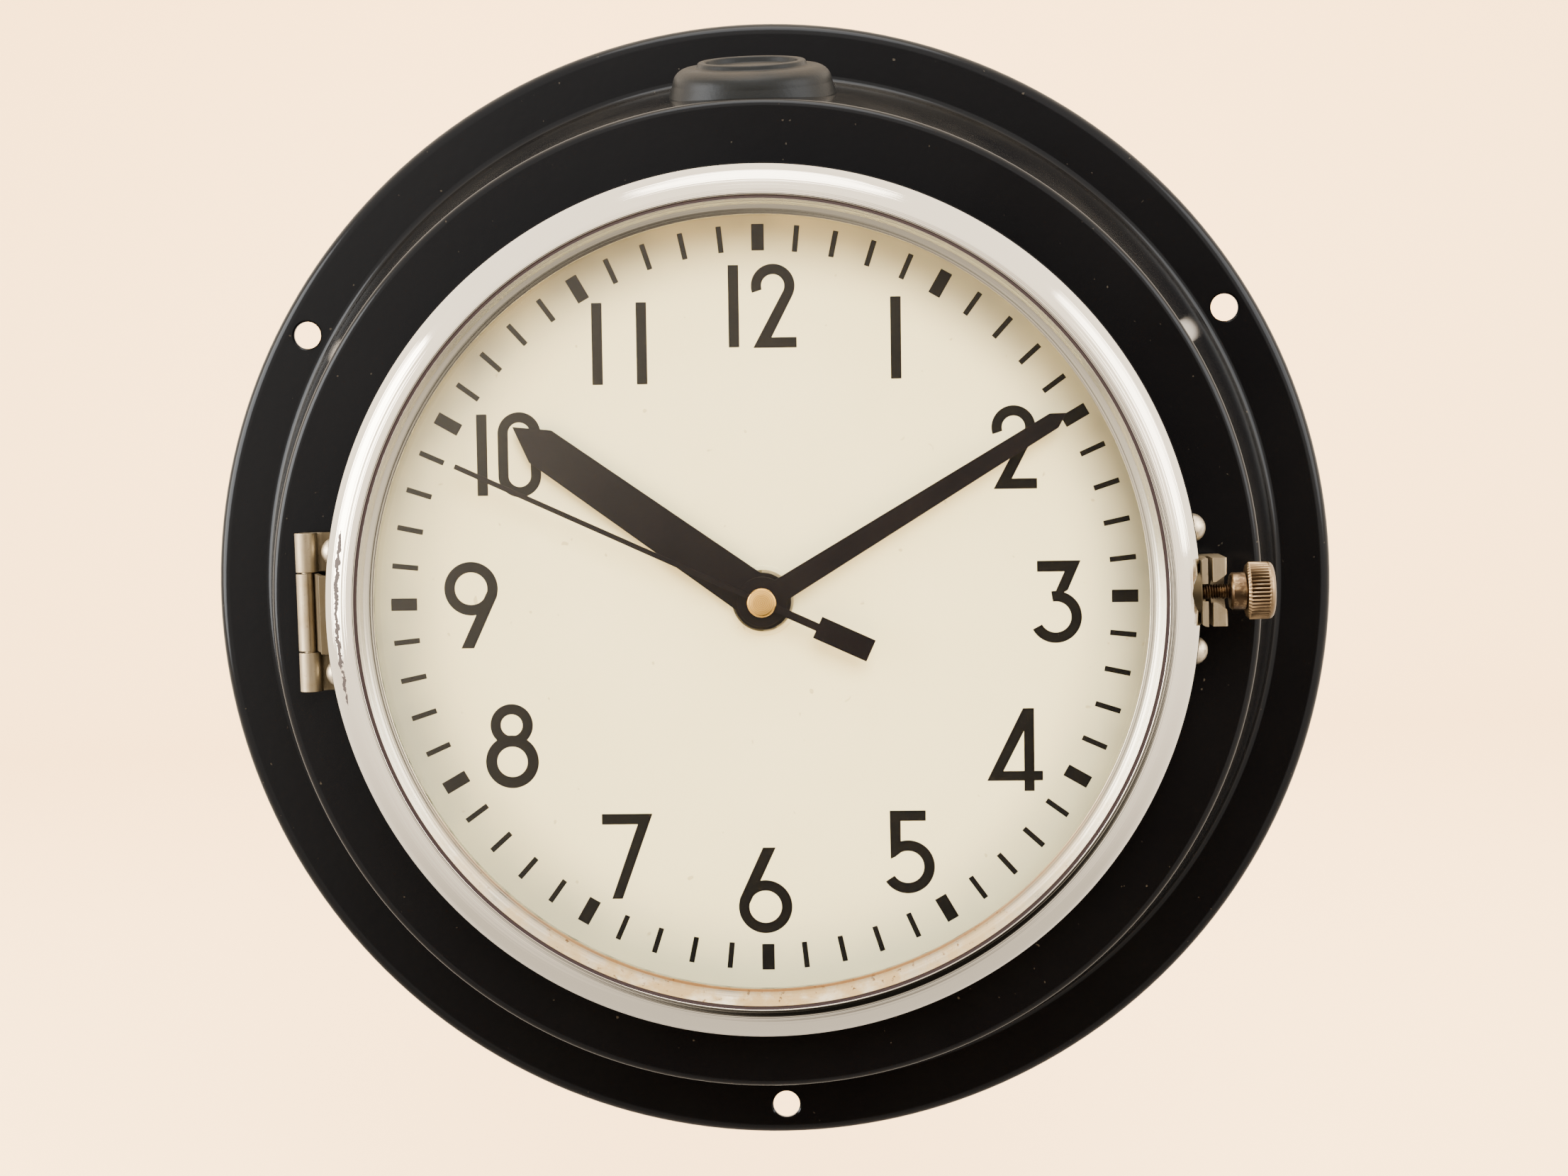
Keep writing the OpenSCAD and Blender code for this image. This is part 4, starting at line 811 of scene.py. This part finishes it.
# Fine enamelled wire shows as close brown lines; real turns are 0.1 mm and are drawn at 0.4 mm to show.
along = add(tree, "SeparateXYZ", {"Vector": at})
wound = add(tree, "Math", {0: along.outputs["X"], 1: math.tau * every(0.4)}, operation="MULTIPLY")
turns = add(tree, "Math", {0: wound}, operation="SINE")
tone = add(tree, "MapRange", {"Value": turns, "From Min": -1.0, "From Max": 1.0})
colour = add(tree, "Mix", {0: tone, 6: "#6f3c1c", 7: "#b9743c"})
relief = add(tree, "Bump", {"Height": tone, "Strength": 0.6, "Distance": 0.0002})
shader = add(tree, "BsdfPrincipled", {"Base Color": colour, "Metallic": 0.8, "Roughness": 0.34,
                                      "Normal": relief})
add(tree, "OutputMaterial", {"Surface": shader})
green_board, tree, at = new_finish("green_solder_lacquer")
# Solder lacquer over copper tracks: darker green where bare laminate lies under it.
track = add(tree, "TexBrick", {"Vector": at, "Scale": every(6), "Mortar Size": 0.06,
                               "Color1": "#1f5c3c", "Color2": "#245f3a",
                               "Mortar": "#3c8a58"})
shader = add(tree, "BsdfPrincipled", {"Base Color": track, "Roughness": 0.3, "IOR": 1.5})
add(tree, "OutputMaterial", {"Surface": shader})
redress("coil", copper_winding)
redress("stator", zinc_plate)
redress("circuit_board", green_board)


# Cell and contacts: one AA cell in a printed plastic sleeve, its steel ends bare, held between two sprung
# strips of plated steel that are pushed into the bay's ends.
cell_sleeve, tree, at = new_finish("printed_shrink_sleeve")
# Shrink sleeve is a thin gloss film, slate blue with a silver band at the button end, and finely creased.
spot = add(tree, "SeparateXYZ", {"Vector": at})
band = add(tree, "MapRange", {"Value": spot.outputs["X"], "From Min": 0.0119, "From Max": 0.0121})
along = add(tree, "Math", {0: spot.outputs["X"]}, operation="ABSOLUTE")
bare = add(tree, "Math", {0: along, 1: 0.0240}, operation="GREATER_THAN")
stretch = add(tree, "Mapping", {"Vector": at, "Scale": (0.15, 1.0, 1.0)})
crease = add(tree, "TexNoise", {"Vector": stretch, "Scale": every(2.5), "Detail": 3.0})
film = add(tree, "Mix", {0: band, 6: "#2b3644", 7: "#b4b6b8"})
colour = add(tree, "Mix", {0: bare, 6: film, 7: "#b9bbbd"})
relief = add(tree, "Bump", {"Height": crease, "Strength": 0.08, "Distance": 0.0002})
shader = add(tree, "BsdfPrincipled", {"Base Color": colour, "Metallic": bare, "Roughness": 0.28, "IOR": 1.5,
                                      "Normal": relief})
add(tree, "OutputMaterial", {"Surface": shader})

cell = lathe([
    (0.0, -24.5, 0.0),
    (4.6, -24.5, 0.2),
    (4.7, -24.2, 0.1),
    (6.2, -24.2, 0.2),
    (6.4, -24.5, 0.1),
    (7.1, -24.5, 0.5),
    (7.1, 24.5, 0.9),
    (5.2, 24.5, 0.3),
    (5.0, 24.1, 0.15),
    (2.75, 24.1, 0.15),
    (2.75, 25.5, 0.35),
    (0.0, 25.5, 0.0),
], segments=4, steps=72)
cell_lo, cell_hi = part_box("battery")
cell_y = 1000 * (cell_lo.z + cell_hi.z) / 2
cell_z = -1000 * (cell_lo.y + cell_hi.y) / 2
cell_place = Matrix.Translation((0, cell_y, cell_z)) @ Matrix.Rotation(math.radians(90), 4, "Y")
set_at(cell, cell_place)
piece(cell, "AA_cell", "case", "cell_sleeve", cell_sleeve, "battery")
redress("battery_contacts", zinc_plate)


# Wheel train: rotor, intermediate, seconds, third, minute, motion and hour wheels, moulded in acetal with
# epicycloid teeth, and the rotor's sintered magnet. They run on steel arbors and moulded posts.
acetal, tree, at = new_finish("natural_acetal")
# Unfilled acetal is a waxy off-white that lets a little light in.
wax = add(tree, "TexNoise", {"Vector": at, "Scale": every(4), "Detail": 3.0})
colour = add(tree, "Mix", {0: wax, 6: "#d3cab0", 7: "#e2dac4"})
shader = add(tree, "BsdfPrincipled", {"Base Color": colour, "Roughness": 0.38, "IOR": 1.48,
                                      "Subsurface Weight": 0.15, "Subsurface Scale": 0.0008})
add(tree, "OutputMaterial", {"Surface": shader})
sintered_magnet, tree, at = new_finish("sintered_magnet")
# Sintered magnets are dark grey, with a fine granular surface left from pressing.
granule = add(tree, "TexNoise", {"Vector": at, "Scale": every(0.3), "Detail": 2.0})
colour = add(tree, "Mix", {0: granule, 6: "#38393c", 7: "#55575b"})
relief = add(tree, "Bump", {"Height": granule, "Strength": 0.2, "Distance": 0.0001})
shader = add(tree, "BsdfPrincipled", {"Base Color": colour, "Metallic": 0.7, "Roughness": 0.5,
                                      "Normal": relief})
add(tree, "OutputMaterial", {"Surface": shader})
for wheel in ("intermediate", "seconds", "third", "minute", "motion", "hour"):
    redress(wheel + "_wheel", acetal)
redress("rotor", sintered_magnet)
softened("setting_knob", "time_setting_knob", "setting", "housing_plastic", moulded_abs, 0.12, over=35)


# Hour, minute and second hands: stamped from sheet brass and sprayed matt black, each pressed on its own
# pipe or arbor. The second hand has a square counterweight and a turned brass cap.
hand_black, tree, at = new_finish("matt_black_hand_paint")
# Thin sprayed paint over stamped brass: flat black with a faint spray grain.
mist = add(tree, "TexNoise", {"Vector": at, "Scale": every(0.7), "Detail": 3.0, "Roughness": 0.6})
cast = add(tree, "TexNoise", {"Vector": at, "Scale": every(11), "Detail": 3.0})
colour = add(tree, "Mix", {0: cast, 6: "#060408", 7: "#0b080c"})
rough = add(tree, "MapRange", {"Value": mist, "To Min": 0.38, "To Max": 0.58})
relief = add(tree, "Bump", {"Height": mist, "Strength": 0.08, "Distance": 0.0001})
shader = add(tree, "BsdfPrincipled", {"Base Color": colour, "Roughness": rough, "Normal": relief,
                                      "Specular IOR Level": 0.05})
add(tree, "OutputMaterial", {"Surface": shader})
softened("hour_hand", "stamped_hour_hand", "hours", "hand_paint", hand_black, 0.1)
softened("minute_hand", "stamped_minute_hand", "minutes", "hand_paint", hand_black, 0.1)
softened("second_hand", "stamped_second_hand", "seconds", "hand_paint", hand_black, 0.06)

lacquered_brass, tree, at = new_finish("lacquered_brass")
# Turned brass under clear lacquer keeps its yellow, with fine rings from the lathe tool and a bright
# burnished edge.
from_axis = off_axis(tree, add(tree, "SeparateXYZ", {"Vector": at}))
tooled = add(tree, "Math", {0: from_axis, 1: math.tau * every(0.35)}, operation="MULTIPLY")
rings = add(tree, "Math", {0: tooled}, operation="SINE")
tone = add(tree, "MapRange", {"Value": rings, "From Min": -1.0, "From Max": 1.0})
colour = add(tree, "Mix", {0: tone, 6: "#d9a24c", 7: "#ecbe6e"})
relief = add(tree, "Bump", {"Height": tone, "Strength": 0.1, "Distance": 0.00005})
rough = add(tree, "MapRange", {"Value": from_axis, "From Min": 0.0022, "From Max": 0.0025,
                               "To Min": 0.5, "To Max": 0.2})
shader = add(tree, "BsdfPrincipled", {"Base Color": colour, "Metallic": 1.0, "Roughness": rough,
                                      "Normal": relief})
add(tree, "OutputMaterial", {"Surface": shader})

cap_z = 53.45
cap_r = 2.9
cap = lathe([
    (0.0, cap_z, 0.0),
    (cap_r, cap_z, 0.1),
    (cap_r, 54.5, 0.35),
    (1.7, 54.78, 2.0),
    (0.0, 54.85, 0.0),
], segments=5, steps=64)
piece(cap, "second_hand_button", "seconds", "brass", lacquered_brass, "second_hand_cap")


# Bezel: a turned and spun brass ring, chromium-plated. A quarter-round bead falls to the outside, a fine
# groove runs round the crest, and a hollow slope leads in to the glass. It is notched for the latch lug.
chrome_plate, tree, at = new_finish("chromium_plate_on_brass")
# Bright chrome mirrors the room, streaked by the polishing mop. The hollow slope is stained and pitted,
# worst at the bottom where damp lies, the plate has flaked in a ragged line by the hinge, and the groove
# is coloured near-black.
spot = add(tree, "SeparateXYZ", {"Vector": at})
from_axis = off_axis(tree, spot)
slope = add(tree, "MapRange", {"Value": from_axis, "From Min": 0.0793, "From Max": 0.0789})
low_down = add(tree, "MapRange", {"Value": spot.outputs["Z"], "From Min": -0.030, "From Max": -0.074,
                                  "To Min": 0.04, "To Max": 1.0})
damp = add(tree, "TexNoise", {"Vector": at, "Scale": every(7), "Detail": 5.0, "Roughness": 0.65})
damp_patch = add(tree, "MapRange", {"Value": damp, "From Min": 0.30, "From Max": 0.56})
low_slope = add(tree, "Math", {0: slope, 1: low_down}, operation="MULTIPLY")
stain = add(tree, "Math", {0: low_slope, 1: damp_patch}, operation="MULTIPLY")
rust = add(tree, "TexNoise", {"Vector": at, "Scale": every(1.3), "Detail": 3.0, "Roughness": 0.6})
rust_spot = add(tree, "MapRange", {"Value": rust, "From Min": 0.62, "From Max": 0.70})
pit = add(tree, "Math", {0: rust_spot, 1: stain}, operation="MULTIPLY")
ragged = add(tree, "TexNoise", {"Vector": at, "Scale": every(1.6), "Detail": 4.0, "Roughness": 0.7})
wander = add(tree, "MapRange", {"Value": ragged, "To Min": -0.0010, "To Max": 0.0010})
line_at = add(tree, "Math", {0: from_axis, 1: wander}, operation="ADD")
on_line = add(tree, "Math", {0: line_at, 1: 0.0831, 2: 0.00042}, operation="COMPARE")
by_side = add(tree, "Math", {0: spot.outputs["X"], 1: -0.0815}, operation="LESS_THAN")
lifted = add(tree, "MapRange", {"Value": damp, "From Min": 0.34, "From Max": 0.40})
torn = add(tree, "Math", {0: on_line, 1: by_side}, operation="MULTIPLY")
flake = add(tree, "Math", {0: torn, 1: lifted}, operation="MULTIPLY")
swirl = add(tree, "TexNoise", {"Vector": at, "Scale": every(0.6), "Detail": 2.0, "Roughness": 0.5})
bright = add(tree, "Mix", {0: slope, 6: "#e7e4db", 7: "#b4b2a8"})
soiled = add(tree, "Mix", {0: stain, 6: bright, 7: "#b49f78"})
glass_edge = add(tree, "Math", {0: from_axis, 1: 0.0761, 2: 0.0004}, operation="COMPARE")
low_edge = add(tree, "Math", {0: glass_edge, 1: low_down}, operation="MULTIPLY")
stained = add(tree, "Mix", {0: low_edge, 6: soiled, 7: "#8d6c48"})
pitted = add(tree, "Mix", {0: pit, 6: stained, 7: "#5d3f24"})
# The fine groove round the crest is coloured near-black across its width.
crease = add(tree, "Math", {0: from_axis, 1: 0.07927, 2: 0.00034}, operation="COMPARE")
bare = add(tree, "Math", {0: flake, 1: crease}, operation="MAXIMUM")
colour = add(tree, "Mix", {0: bare, 6: pitted, 7: "#1f161a"})
haze = add(tree, "MapRange", {"Value": slope, "To Min": 0.07, "To Max": 0.24})
dulled = add(tree, "Math", {0: stain, 1: 0.45, 2: haze}, operation="MULTIPLY_ADD")
rough = add(tree, "Math", {0: bare, 1: 0.5, 2: dulled}, operation="MULTIPLY_ADD", use_clamp=True)
metal = add(tree, "Math", {0: 1.0, 1: bare}, operation="SUBTRACT")
mopped = add(tree, "Bump", {"Height": swirl, "Strength": 0.015, "Distance": 0.0002})
round_at = add(tree, "CombineXYZ", {"X": from_axis})
turned = add(tree, "TexNoise", {"Vector": round_at, "Scale": every(1.1), "Detail": 3.0, "Roughness": 0.6})
wavy = add(tree, "Bump", {"Height": turned, "Strength": 0.6, "Distance": 0.0004, "Normal": mopped})
relief = add(tree, "Bump", {"Height": pit, "Strength": 0.3, "Distance": 0.0001, "Normal": wavy}, invert=True)
shader = add(tree, "BsdfPrincipled", {"Base Color": colour, "Metallic": metal, "Roughness": rough,
                                      "Normal": relief})
add(tree, "OutputMaterial", {"Surface": shader})

bezel_z = 54.0
bezel_r = 86.3
crest_z = 63.0
seat_r = 79.4
lip_r = 76.0
lip_z = 60.0
bezel = lathe([
    (seat_r, bezel_z, 0.2),
    (bezel_r, bezel_z, 0.4),
    (bezel_r, crest_z, 6.6),
    (79.62, crest_z, 0.1),
    (79.47, 62.5, 0.08),
    (79.07, 62.5, 0.08),
    (78.92, 62.78, 0.1),
    (77.5, 60.95, 2.4),
    (lip_r, 60.6, 0.15),
    (lip_r, lip_z, 0.15),
    (seat_r, lip_z, 0.2),
], segments=12, steps=240)
ear_in = 85.9
notch_in = 82.8
notch_l = 10.0
notch = block(bmesh.new(), Matrix.Translation((ear_in + notch_l / 2, 0, 58.5)),
              (notch_l, 2 * latch_half, 12.0))
notch_round = rod(bmesh.new(), 4.7, notch_l,
                  along_screw @ Matrix.Translation((0, 0, notch_in + notch_l / 2)), 64)
bezel = carve(bezel, carve(notch, notch_round, "UNION"))
piece(bezel, "chrome_bezel", "bezel", "chrome", chrome_plate, "bezel_ring", sharp=40)


# Glass, seal and retaining ring: a flat pane bedded on a thin rubber ring under the bezel's lip, and a
# zinc-plated ring sprung in behind it.
pane_z = 56.8
pane_top = 59.2
seal_in = 76.2
seal = lathe([
    (seal_in, pane_top, 0.1),
    (seat_r, pane_top, 0.0),
    (seat_r, lip_z, 0.0),
    (seal_in, lip_z, 0.2),
], segments=3)
piece(seal, "glass_bedding", "bezel", "rubber", gasket_rubber, "glass_seal")
window_glass, tree, at = new_finish("clear_flat_glass")
# Flat glass is clear and mirrors only at a slant; a thin film of dust gives it a trace of haze.
smear = add(tree, "TexNoise", {"Vector": at, "Scale": every(30), "Detail": 4.0, "Roughness": 0.6})
film = add(tree, "MapRange", {"Value": smear, "From Min": 0.3, "From Max": 0.7,
                              "To Min": 0.0005, "To Max": 0.002})
clear = add(tree, "BsdfTransparent", {"Color": "#fbfdfb"})
dusty = add(tree, "BsdfDiffuse", {"Color": "#d9d4c8"})
pane = add(tree, "MixShader", {0: film, 1: clear, 2: dusty})
mirror = add(tree, "BsdfGlossy", {"Color": "#ffffff", "Roughness": 0.02})
slant = add(tree, "LayerWeight", {"Blend": 0.5})
rise = add(tree, "Math", {0: slant.outputs["Facing"], 1: 5.0}, operation="POWER")
share = add(tree, "MapRange", {"Value": rise, "To Min": 0.04, "To Max": 1.0})
shader = add(tree, "MixShader", {0: share, 1: pane, 2: mirror})
add(tree, "OutputMaterial", {"Surface": shader})
pane_r = 79.2
glass = lathe([
    (0.0, pane_z, 0.0),
    (pane_r, pane_z, 0.3),
    (pane_r, pane_top, 0.3),
    (0.0, pane_top, 0.0),
], segments=3)
piece(glass, "flat_glass", "bezel", "glass", window_glass, "glass")
spring_in = 76.8
spring_z = 55.0
retainer = lathe([
    (spring_in, spring_z, 0.2),
    (seat_r, spring_z, 0.2),
    (seat_r, pane_z, 0.1),
    (spring_in, pane_z, 0.2),
], segments=3)
piece(retainer, "glass_spring_ring", "bezel", "plain_steel", zinc_plate, "glass_retainer")


# Hinge bezel leaf: the middle barrel, rolled from the same strip, a web that leans in past the gasket,
# and a foot that is soldered to the bezel's side.
bezel_leaf = roll_strip((-86.6, -mid_half, 54.6), (-strip, 0, 0), (pin_x + barrel_r, -mid_half, pin_z),
                        2 * mid_half, 282)
ease_edges(bezel_leaf, 0.14)
foot = block(bmesh.new(), Matrix.Translation((-86.7, 0, 55.2)), (1.8, 2 * mid_half, 2.4))
ease_edges(foot, 0.2)
join(bezel_leaf, foot)
piece(bezel_leaf, "hinge_leaf_on_bezel", "bezel", "nickel", nickel_plate, "hinge_bezel_leaf")


# Latch lug: a nickel-plated block soldered to the bezel's edge. A round boss let into the bezel is tapped
# for the thumbscrew, and two ears stand on either side of its stem.
ear_out = 87.4
bore_r = 1.5
boss_r = 4.6
boss_in = 82.85
boss_out = 86.1
lug = block(bmesh.new(), Matrix.Translation(((ear_in + ear_out) / 2, 0, screw_z)),
            (ear_out - ear_in, 2 * latch_half, 5.2))
shoulders = [edge for edge in lug.edges if all(v.co.x < ear_in + 0.01 for v in edge.verts)
             and abs(edge.verts[0].co.z - edge.verts[1].co.z) > 1.0]
round_edges(lug, shoulders, 1.3, 5)
lug = carve(lug, rod(bmesh.new(), 3.1, 6.0, along_screw @ Matrix.Translation((0, 0, 87.0)), 48))
ease_edges(lug, 0.2)
boss = lathe([
    (bore_r, boss_in, 0.1),
    (boss_r, boss_in, 0.2),
    (boss_r, boss_out, 0.3),
    (bore_r, boss_out, 0.3),
], segments=3, steps=64)
set_at(boss, along_screw)
join(lug, boss)
piece(lug, "tapped_latch_lug", "bezel", "nickel", nickel_plate, "latch_lug")


# Latch sleeve: a loose brass collar on the thumbscrew's stem. Its bevelled end seats in the mouth of the
# keeper's slot while the screw turns in it.
old_brass, tree, at = new_finish("dull_old_brass")
# Bare brass darkens to a brown gold, brighter where fingers rub it, with dark spots in the low places, a
# darker colour down in the knurls, and brown stains on the latch's stem and collar, which nothing rubs.
tarnish = add(tree, "TexNoise", {"Vector": at, "Scale": every(3.2), "Detail": 5.0, "Roughness": 0.65})
spots = add(tree, "TexNoise", {"Vector": at, "Scale": every(0.9), "Detail": 3.0, "Roughness": 0.6})
spotted = add(tree, "MapRange", {"Value": spots, "From Min": 0.58, "From Max": 0.72, "To Max": 0.65})
across = add(tree, "SeparateXYZ", {"Vector": at})
by_stem = add(tree, "Math", {0: across.outputs["X"], 1: 0.0890, 2: 0.0060}, operation="COMPARE")
blotch = add(tree, "MapRange", {"Value": tarnish, "From Min": 0.60, "From Max": 0.48, "To Max": 0.8})
handled = add(tree, "Math", {0: by_stem, 1: blotch}, operation="MULTIPLY")
stained = add(tree, "Math", {0: handled, 1: spotted}, operation="MAXIMUM")
from_screw = add(tree, "VectorMath", {0: at, 1: (0, screw_z / 1000, 0)}, operation="ADD")
square_on = add(tree, "VectorMath", {0: from_screw, 1: (0, 1, 1)}, operation="MULTIPLY")
out = add(tree, "VectorMath", {0: square_on}, operation="LENGTH")
# The colour darkens towards the bottoms of the knurls' grooves.
knurl_low = add(tree, "MapRange", {"Value": out.outputs["Value"], "From Min": 0.00550, "From Max": 0.00526,
                                   "To Max": 0.85})
on_knurls = add(tree, "Math", {0: across.outputs["X"], 1: 0.0973, 2: 0.0017}, operation="COMPARE")
knurl_darkening = add(tree, "Math", {0: knurl_low, 1: on_knurls}, operation="MULTIPLY")
soiled = add(tree, "Math", {0: stained, 1: knurl_darkening}, operation="MAXIMUM")
turned = add(tree, "Mix", {0: tarnish, 6: "#7b6850", 7: "#9f8a6e"})
colour = add(tree, "Mix", {0: soiled, 6: turned, 7: "#3a2a20"})
rough = add(tree, "MapRange", {"Value": tarnish, "To Min": 0.46, "To Max": 0.22})
relief = add(tree, "Bump", {"Height": spots, "Strength": 0.12, "Distance": 0.0001})
shader = add(tree, "BsdfPrincipled", {"Base Color": colour, "Metallic": 1.0, "Roughness": rough,
                                      "Normal": relief})
add(tree, "OutputMaterial", {"Surface": shader})

sleeve_r = 3.7
sleeve_in = 91.8
sleeve_out = sleeve_in + 3.1
sleeve_bevel = 0.5
sleeve = lathe([
    (bore_r, sleeve_in, 0.1),
    (sleeve_r - sleeve_bevel, sleeve_in, 0.15),
    (sleeve_r, sleeve_in + sleeve_bevel, 0.15),
    (sleeve_r, sleeve_out, 0.2),
    (bore_r, sleeve_out, 0.1),
], segments=3, steps=64)
set_at(sleeve, along_screw)
piece(sleeve, "loose_collar", "latch_sleeve", "brass", old_brass, "latch_sleeve")


# Thumbscrew: turned from brass bar, with a straight-knurled head, a smooth rounded end and an M3 stem
# whose thread shows between the keeper's prongs.
head_r = 5.6
knurls = 44
knurl_depth = 0.42
head_in = 95.0
head_out = 100.3
knurl_fine = 4
head = bmesh.new()
bmesh.ops.create_circle(head, cap_ends=True, segments=knurls * knurl_fine, radius=head_r - 0.55)
bmesh.ops.translate(head, verts=head.verts[:], vec=(0, 0, head_in))
# Each stage up the head: height, radius, and how much of the knurl's depth is cut there.
stages = [
    (head_in + 0.45, head_r - 0.08, 0.7),
    (head_in + 0.6, head_r, 1.0),
    (head_out - 1.25, head_r, 1.0),
    (head_out - 1.1, head_r, 0.0),
    (head_out - 0.8, head_r - 0.05, 0.0),
    (head_out - 0.45, head_r - 0.22, 0.0),
    (head_out - 0.18, head_r - 0.55, 0.0),
    (head_out, head_r - 1.1, 0.0),
]
base = head.faces[:]
top = base
for height, radius, cut in stages:
    grown = bmesh.ops.extrude_face_region(head, geom=top)["geom"]
    if top is not base:
        bmesh.ops.delete(head, geom=top, context="FACES_ONLY")
    top = pick(grown, BMFace)
    for vert in top[0].verts:
        around = math.atan2(vert.co.y, vert.co.x) / math.tau * knurls
        groove_depth = knurl_depth * cut * (0.5 - 0.5 * math.cos(math.tau * around))
        flat = Vector((vert.co.x, vert.co.y)).normalized() * (radius - groove_depth)
        vert.co = (flat.x, flat.y, height)
bmesh.ops.recalc_face_normals(head, faces=head.faces[:])
stem_r = 1.45
core_r = stem_r - 0.28
stem_in = 83.4
pitch = 0.5
turn_steps = 24
thread_turns = 23
thread = bmesh.new()
thread_verts = [thread.verts.new((radius, 0, stem_in + rise)) for radius, rise in
                ((core_r, 0.0), (stem_r, 0.22), (stem_r, 0.28), (core_r, pitch))]
thread_edges = [thread.edges.new(pair) for pair in zip(thread_verts, thread_verts[1:])]
bmesh.ops.spin(thread, geom=thread_verts + thread_edges, cent=(0, 0, 0), axis=(0, 0, 1),
               angle=math.tau * thread_turns, steps=turn_steps * thread_turns,
               dvec=(0, 0, pitch / turn_steps))
bmesh.ops.remove_doubles(thread, verts=thread.verts[:], dist=0.002)
bmesh.ops.holes_fill(thread, edges=[edge for edge in thread.edges if edge.is_boundary])
bmesh.ops.recalc_face_normals(thread, faces=thread.faces[:])
join(head, thread)
set_at(head, along_screw)
piece(head, "knurled_thumbscrew", "thumbscrew", "brass", old_brass, "thumbscrew", sharp=50)


# Stage: a pale floor that sweeps up into a backdrop well behind the clock, so that views from the back are
# clear, and soft light from both sides, above and behind.
stage_paint, tree, at = new_finish("pale_studio_paint")
# Rolled matt paint, very slightly uneven.
wash = add(tree, "TexNoise", {"Vector": at, "Scale": 2.0, "Detail": 2.0})
colour = add(tree, "Mix", {0: wash, 6: "#edcb9a", 7: "#f0d2a5"})
shader = add(tree, "BsdfPrincipled", {"Base Color": colour, "Roughness": 0.8})
add(tree, "OutputMaterial", {"Surface": shader})
floor_z = -0.17
front_y = -3.0
bend_y = 1.1
bend_r = 0.6
backdrop_h = 2.6
sweep = bmesh.new()
front = [sweep.verts.new((x, front_y, floor_z)) for x in (-4.0, 4.0)]
floor_end = pull_edges(sweep, [sweep.edges.new(front)], (0, bend_y - front_y, 0))
curl = bmesh.ops.spin(sweep, geom=floor_end, cent=(0, bend_y, floor_z + bend_r), axis=(1, 0, 0),
                      angle=math.radians(90), steps=24)["geom_last"]
pull_edges(sweep, pick(curl, BMEdge), (0, 0, backdrop_h))
sweep_mesh = bpy.data.meshes.new("floor_and_backdrop")
sweep.to_mesh(sweep_mesh)
sweep.free()
sweep_mesh.materials.append(stage_paint)
sweep_mesh.shade_smooth()
backdrop = bpy.data.objects.new("floor_and_backdrop", sweep_mesh)
bpy.context.scene.collection.objects.link(backdrop)
backdrop.visible_glossy = False

# Name, place, aim, width, watts, and whether polished faces mirror it.
lamps = [
    ("key_softbox", (0.25, -1.25, 0.65), (0.0, 0.0, 0.0), 0.9, 64.0, False),
    ("right_softbox", (1.2, -0.5, 0.5), (0.0, 0.0, 0.0), 1.0, 18.0, True),
    ("left_softbox", (-1.3, -0.5, 0.3), (0.0, 0.0, 0.0), 1.1, 46.0, True),
    ("overhead_softbox", (0.0, -0.4, 1.4), (0.0, 0.0, 0.0), 1.0, 18.0, True),
    ("backdrop_softbox", (0.0, 0.3, 1.7), (0.0, 1.7, 0.2), 1.2, 135.0, False),
]
for lamp_name, lamp_place, lamp_aim, lamp_width, lamp_watts, mirrored in lamps:
    lamp_light = bpy.data.lights.new(lamp_name, "AREA")
    lamp_light.shape = "DISK"
    lamp_light.size = lamp_width
    lamp_light.energy = lamp_watts
    lamp_light.color = (1.0, 0.92, 0.80)
    lamp = bpy.data.objects.new(lamp_name, lamp_light)
    lamp.location = lamp_place
    lamp.rotation_euler = (Vector(lamp_aim) - Vector(lamp_place)).to_track_quat("-Z", "Y").to_euler()
    lamp.visible_camera = False
    lamp.visible_glossy = mirrored
    bpy.context.scene.collection.objects.link(lamp)

# The room is bright all round except for a dark spot in front, a little to the right and below.
room = bpy.data.worlds.new("soft_room")
room.use_nodes = True
room.node_tree.nodes.clear()
tree = room.node_tree
ray = add(tree, "TexCoord", {})
unlit = Vector((0.10, -0.97, -0.22)).normalized()
squat = add(tree, "VectorMath", {0: ray.outputs["Generated"], 1: (1.0, 1.0, 0.6)}, operation="MULTIPLY")
way = add(tree, "VectorMath", {0: squat}, operation="NORMALIZE")
towards = add(tree, "VectorMath", {0: way, 1: unlit}, operation="DOT_PRODUCT")
lit = add(tree, "MapRange", {"Value": towards.outputs["Value"], "From Min": 0.985, "From Max": 0.90,
                             "To Min": 0.02, "To Max": 3.0}, interpolation_type="SMOOTHSTEP")
height = add(tree, "SeparateXYZ", {"Vector": ray.outputs["Generated"]})
ground = add(tree, "MapRange", {"Value": height.outputs["Z"], "From Min": -0.7, "From Max": 0.1,
                                "To Min": 0.38, "To Max": 1.0})
shed = add(tree, "Math", {0: lit, 1: ground}, operation="MULTIPLY")
# Seen straight past the floor's edge, the room is as pale as the floor.
seen = add(tree, "LightPath", {})
pale = add(tree, "Math", {0: seen.outputs["Is Camera Ray"], 1: 4.0}, operation="MULTIPLY")
strength = add(tree, "Math", {0: shed, 1: pale}, operation="MAXIMUM")
glow = add(tree, "Background", {"Color": "#ffedd6", "Strength": strength})
add(tree, "OutputWorld", {"Surface": glow})
bpy.context.scene.world = room
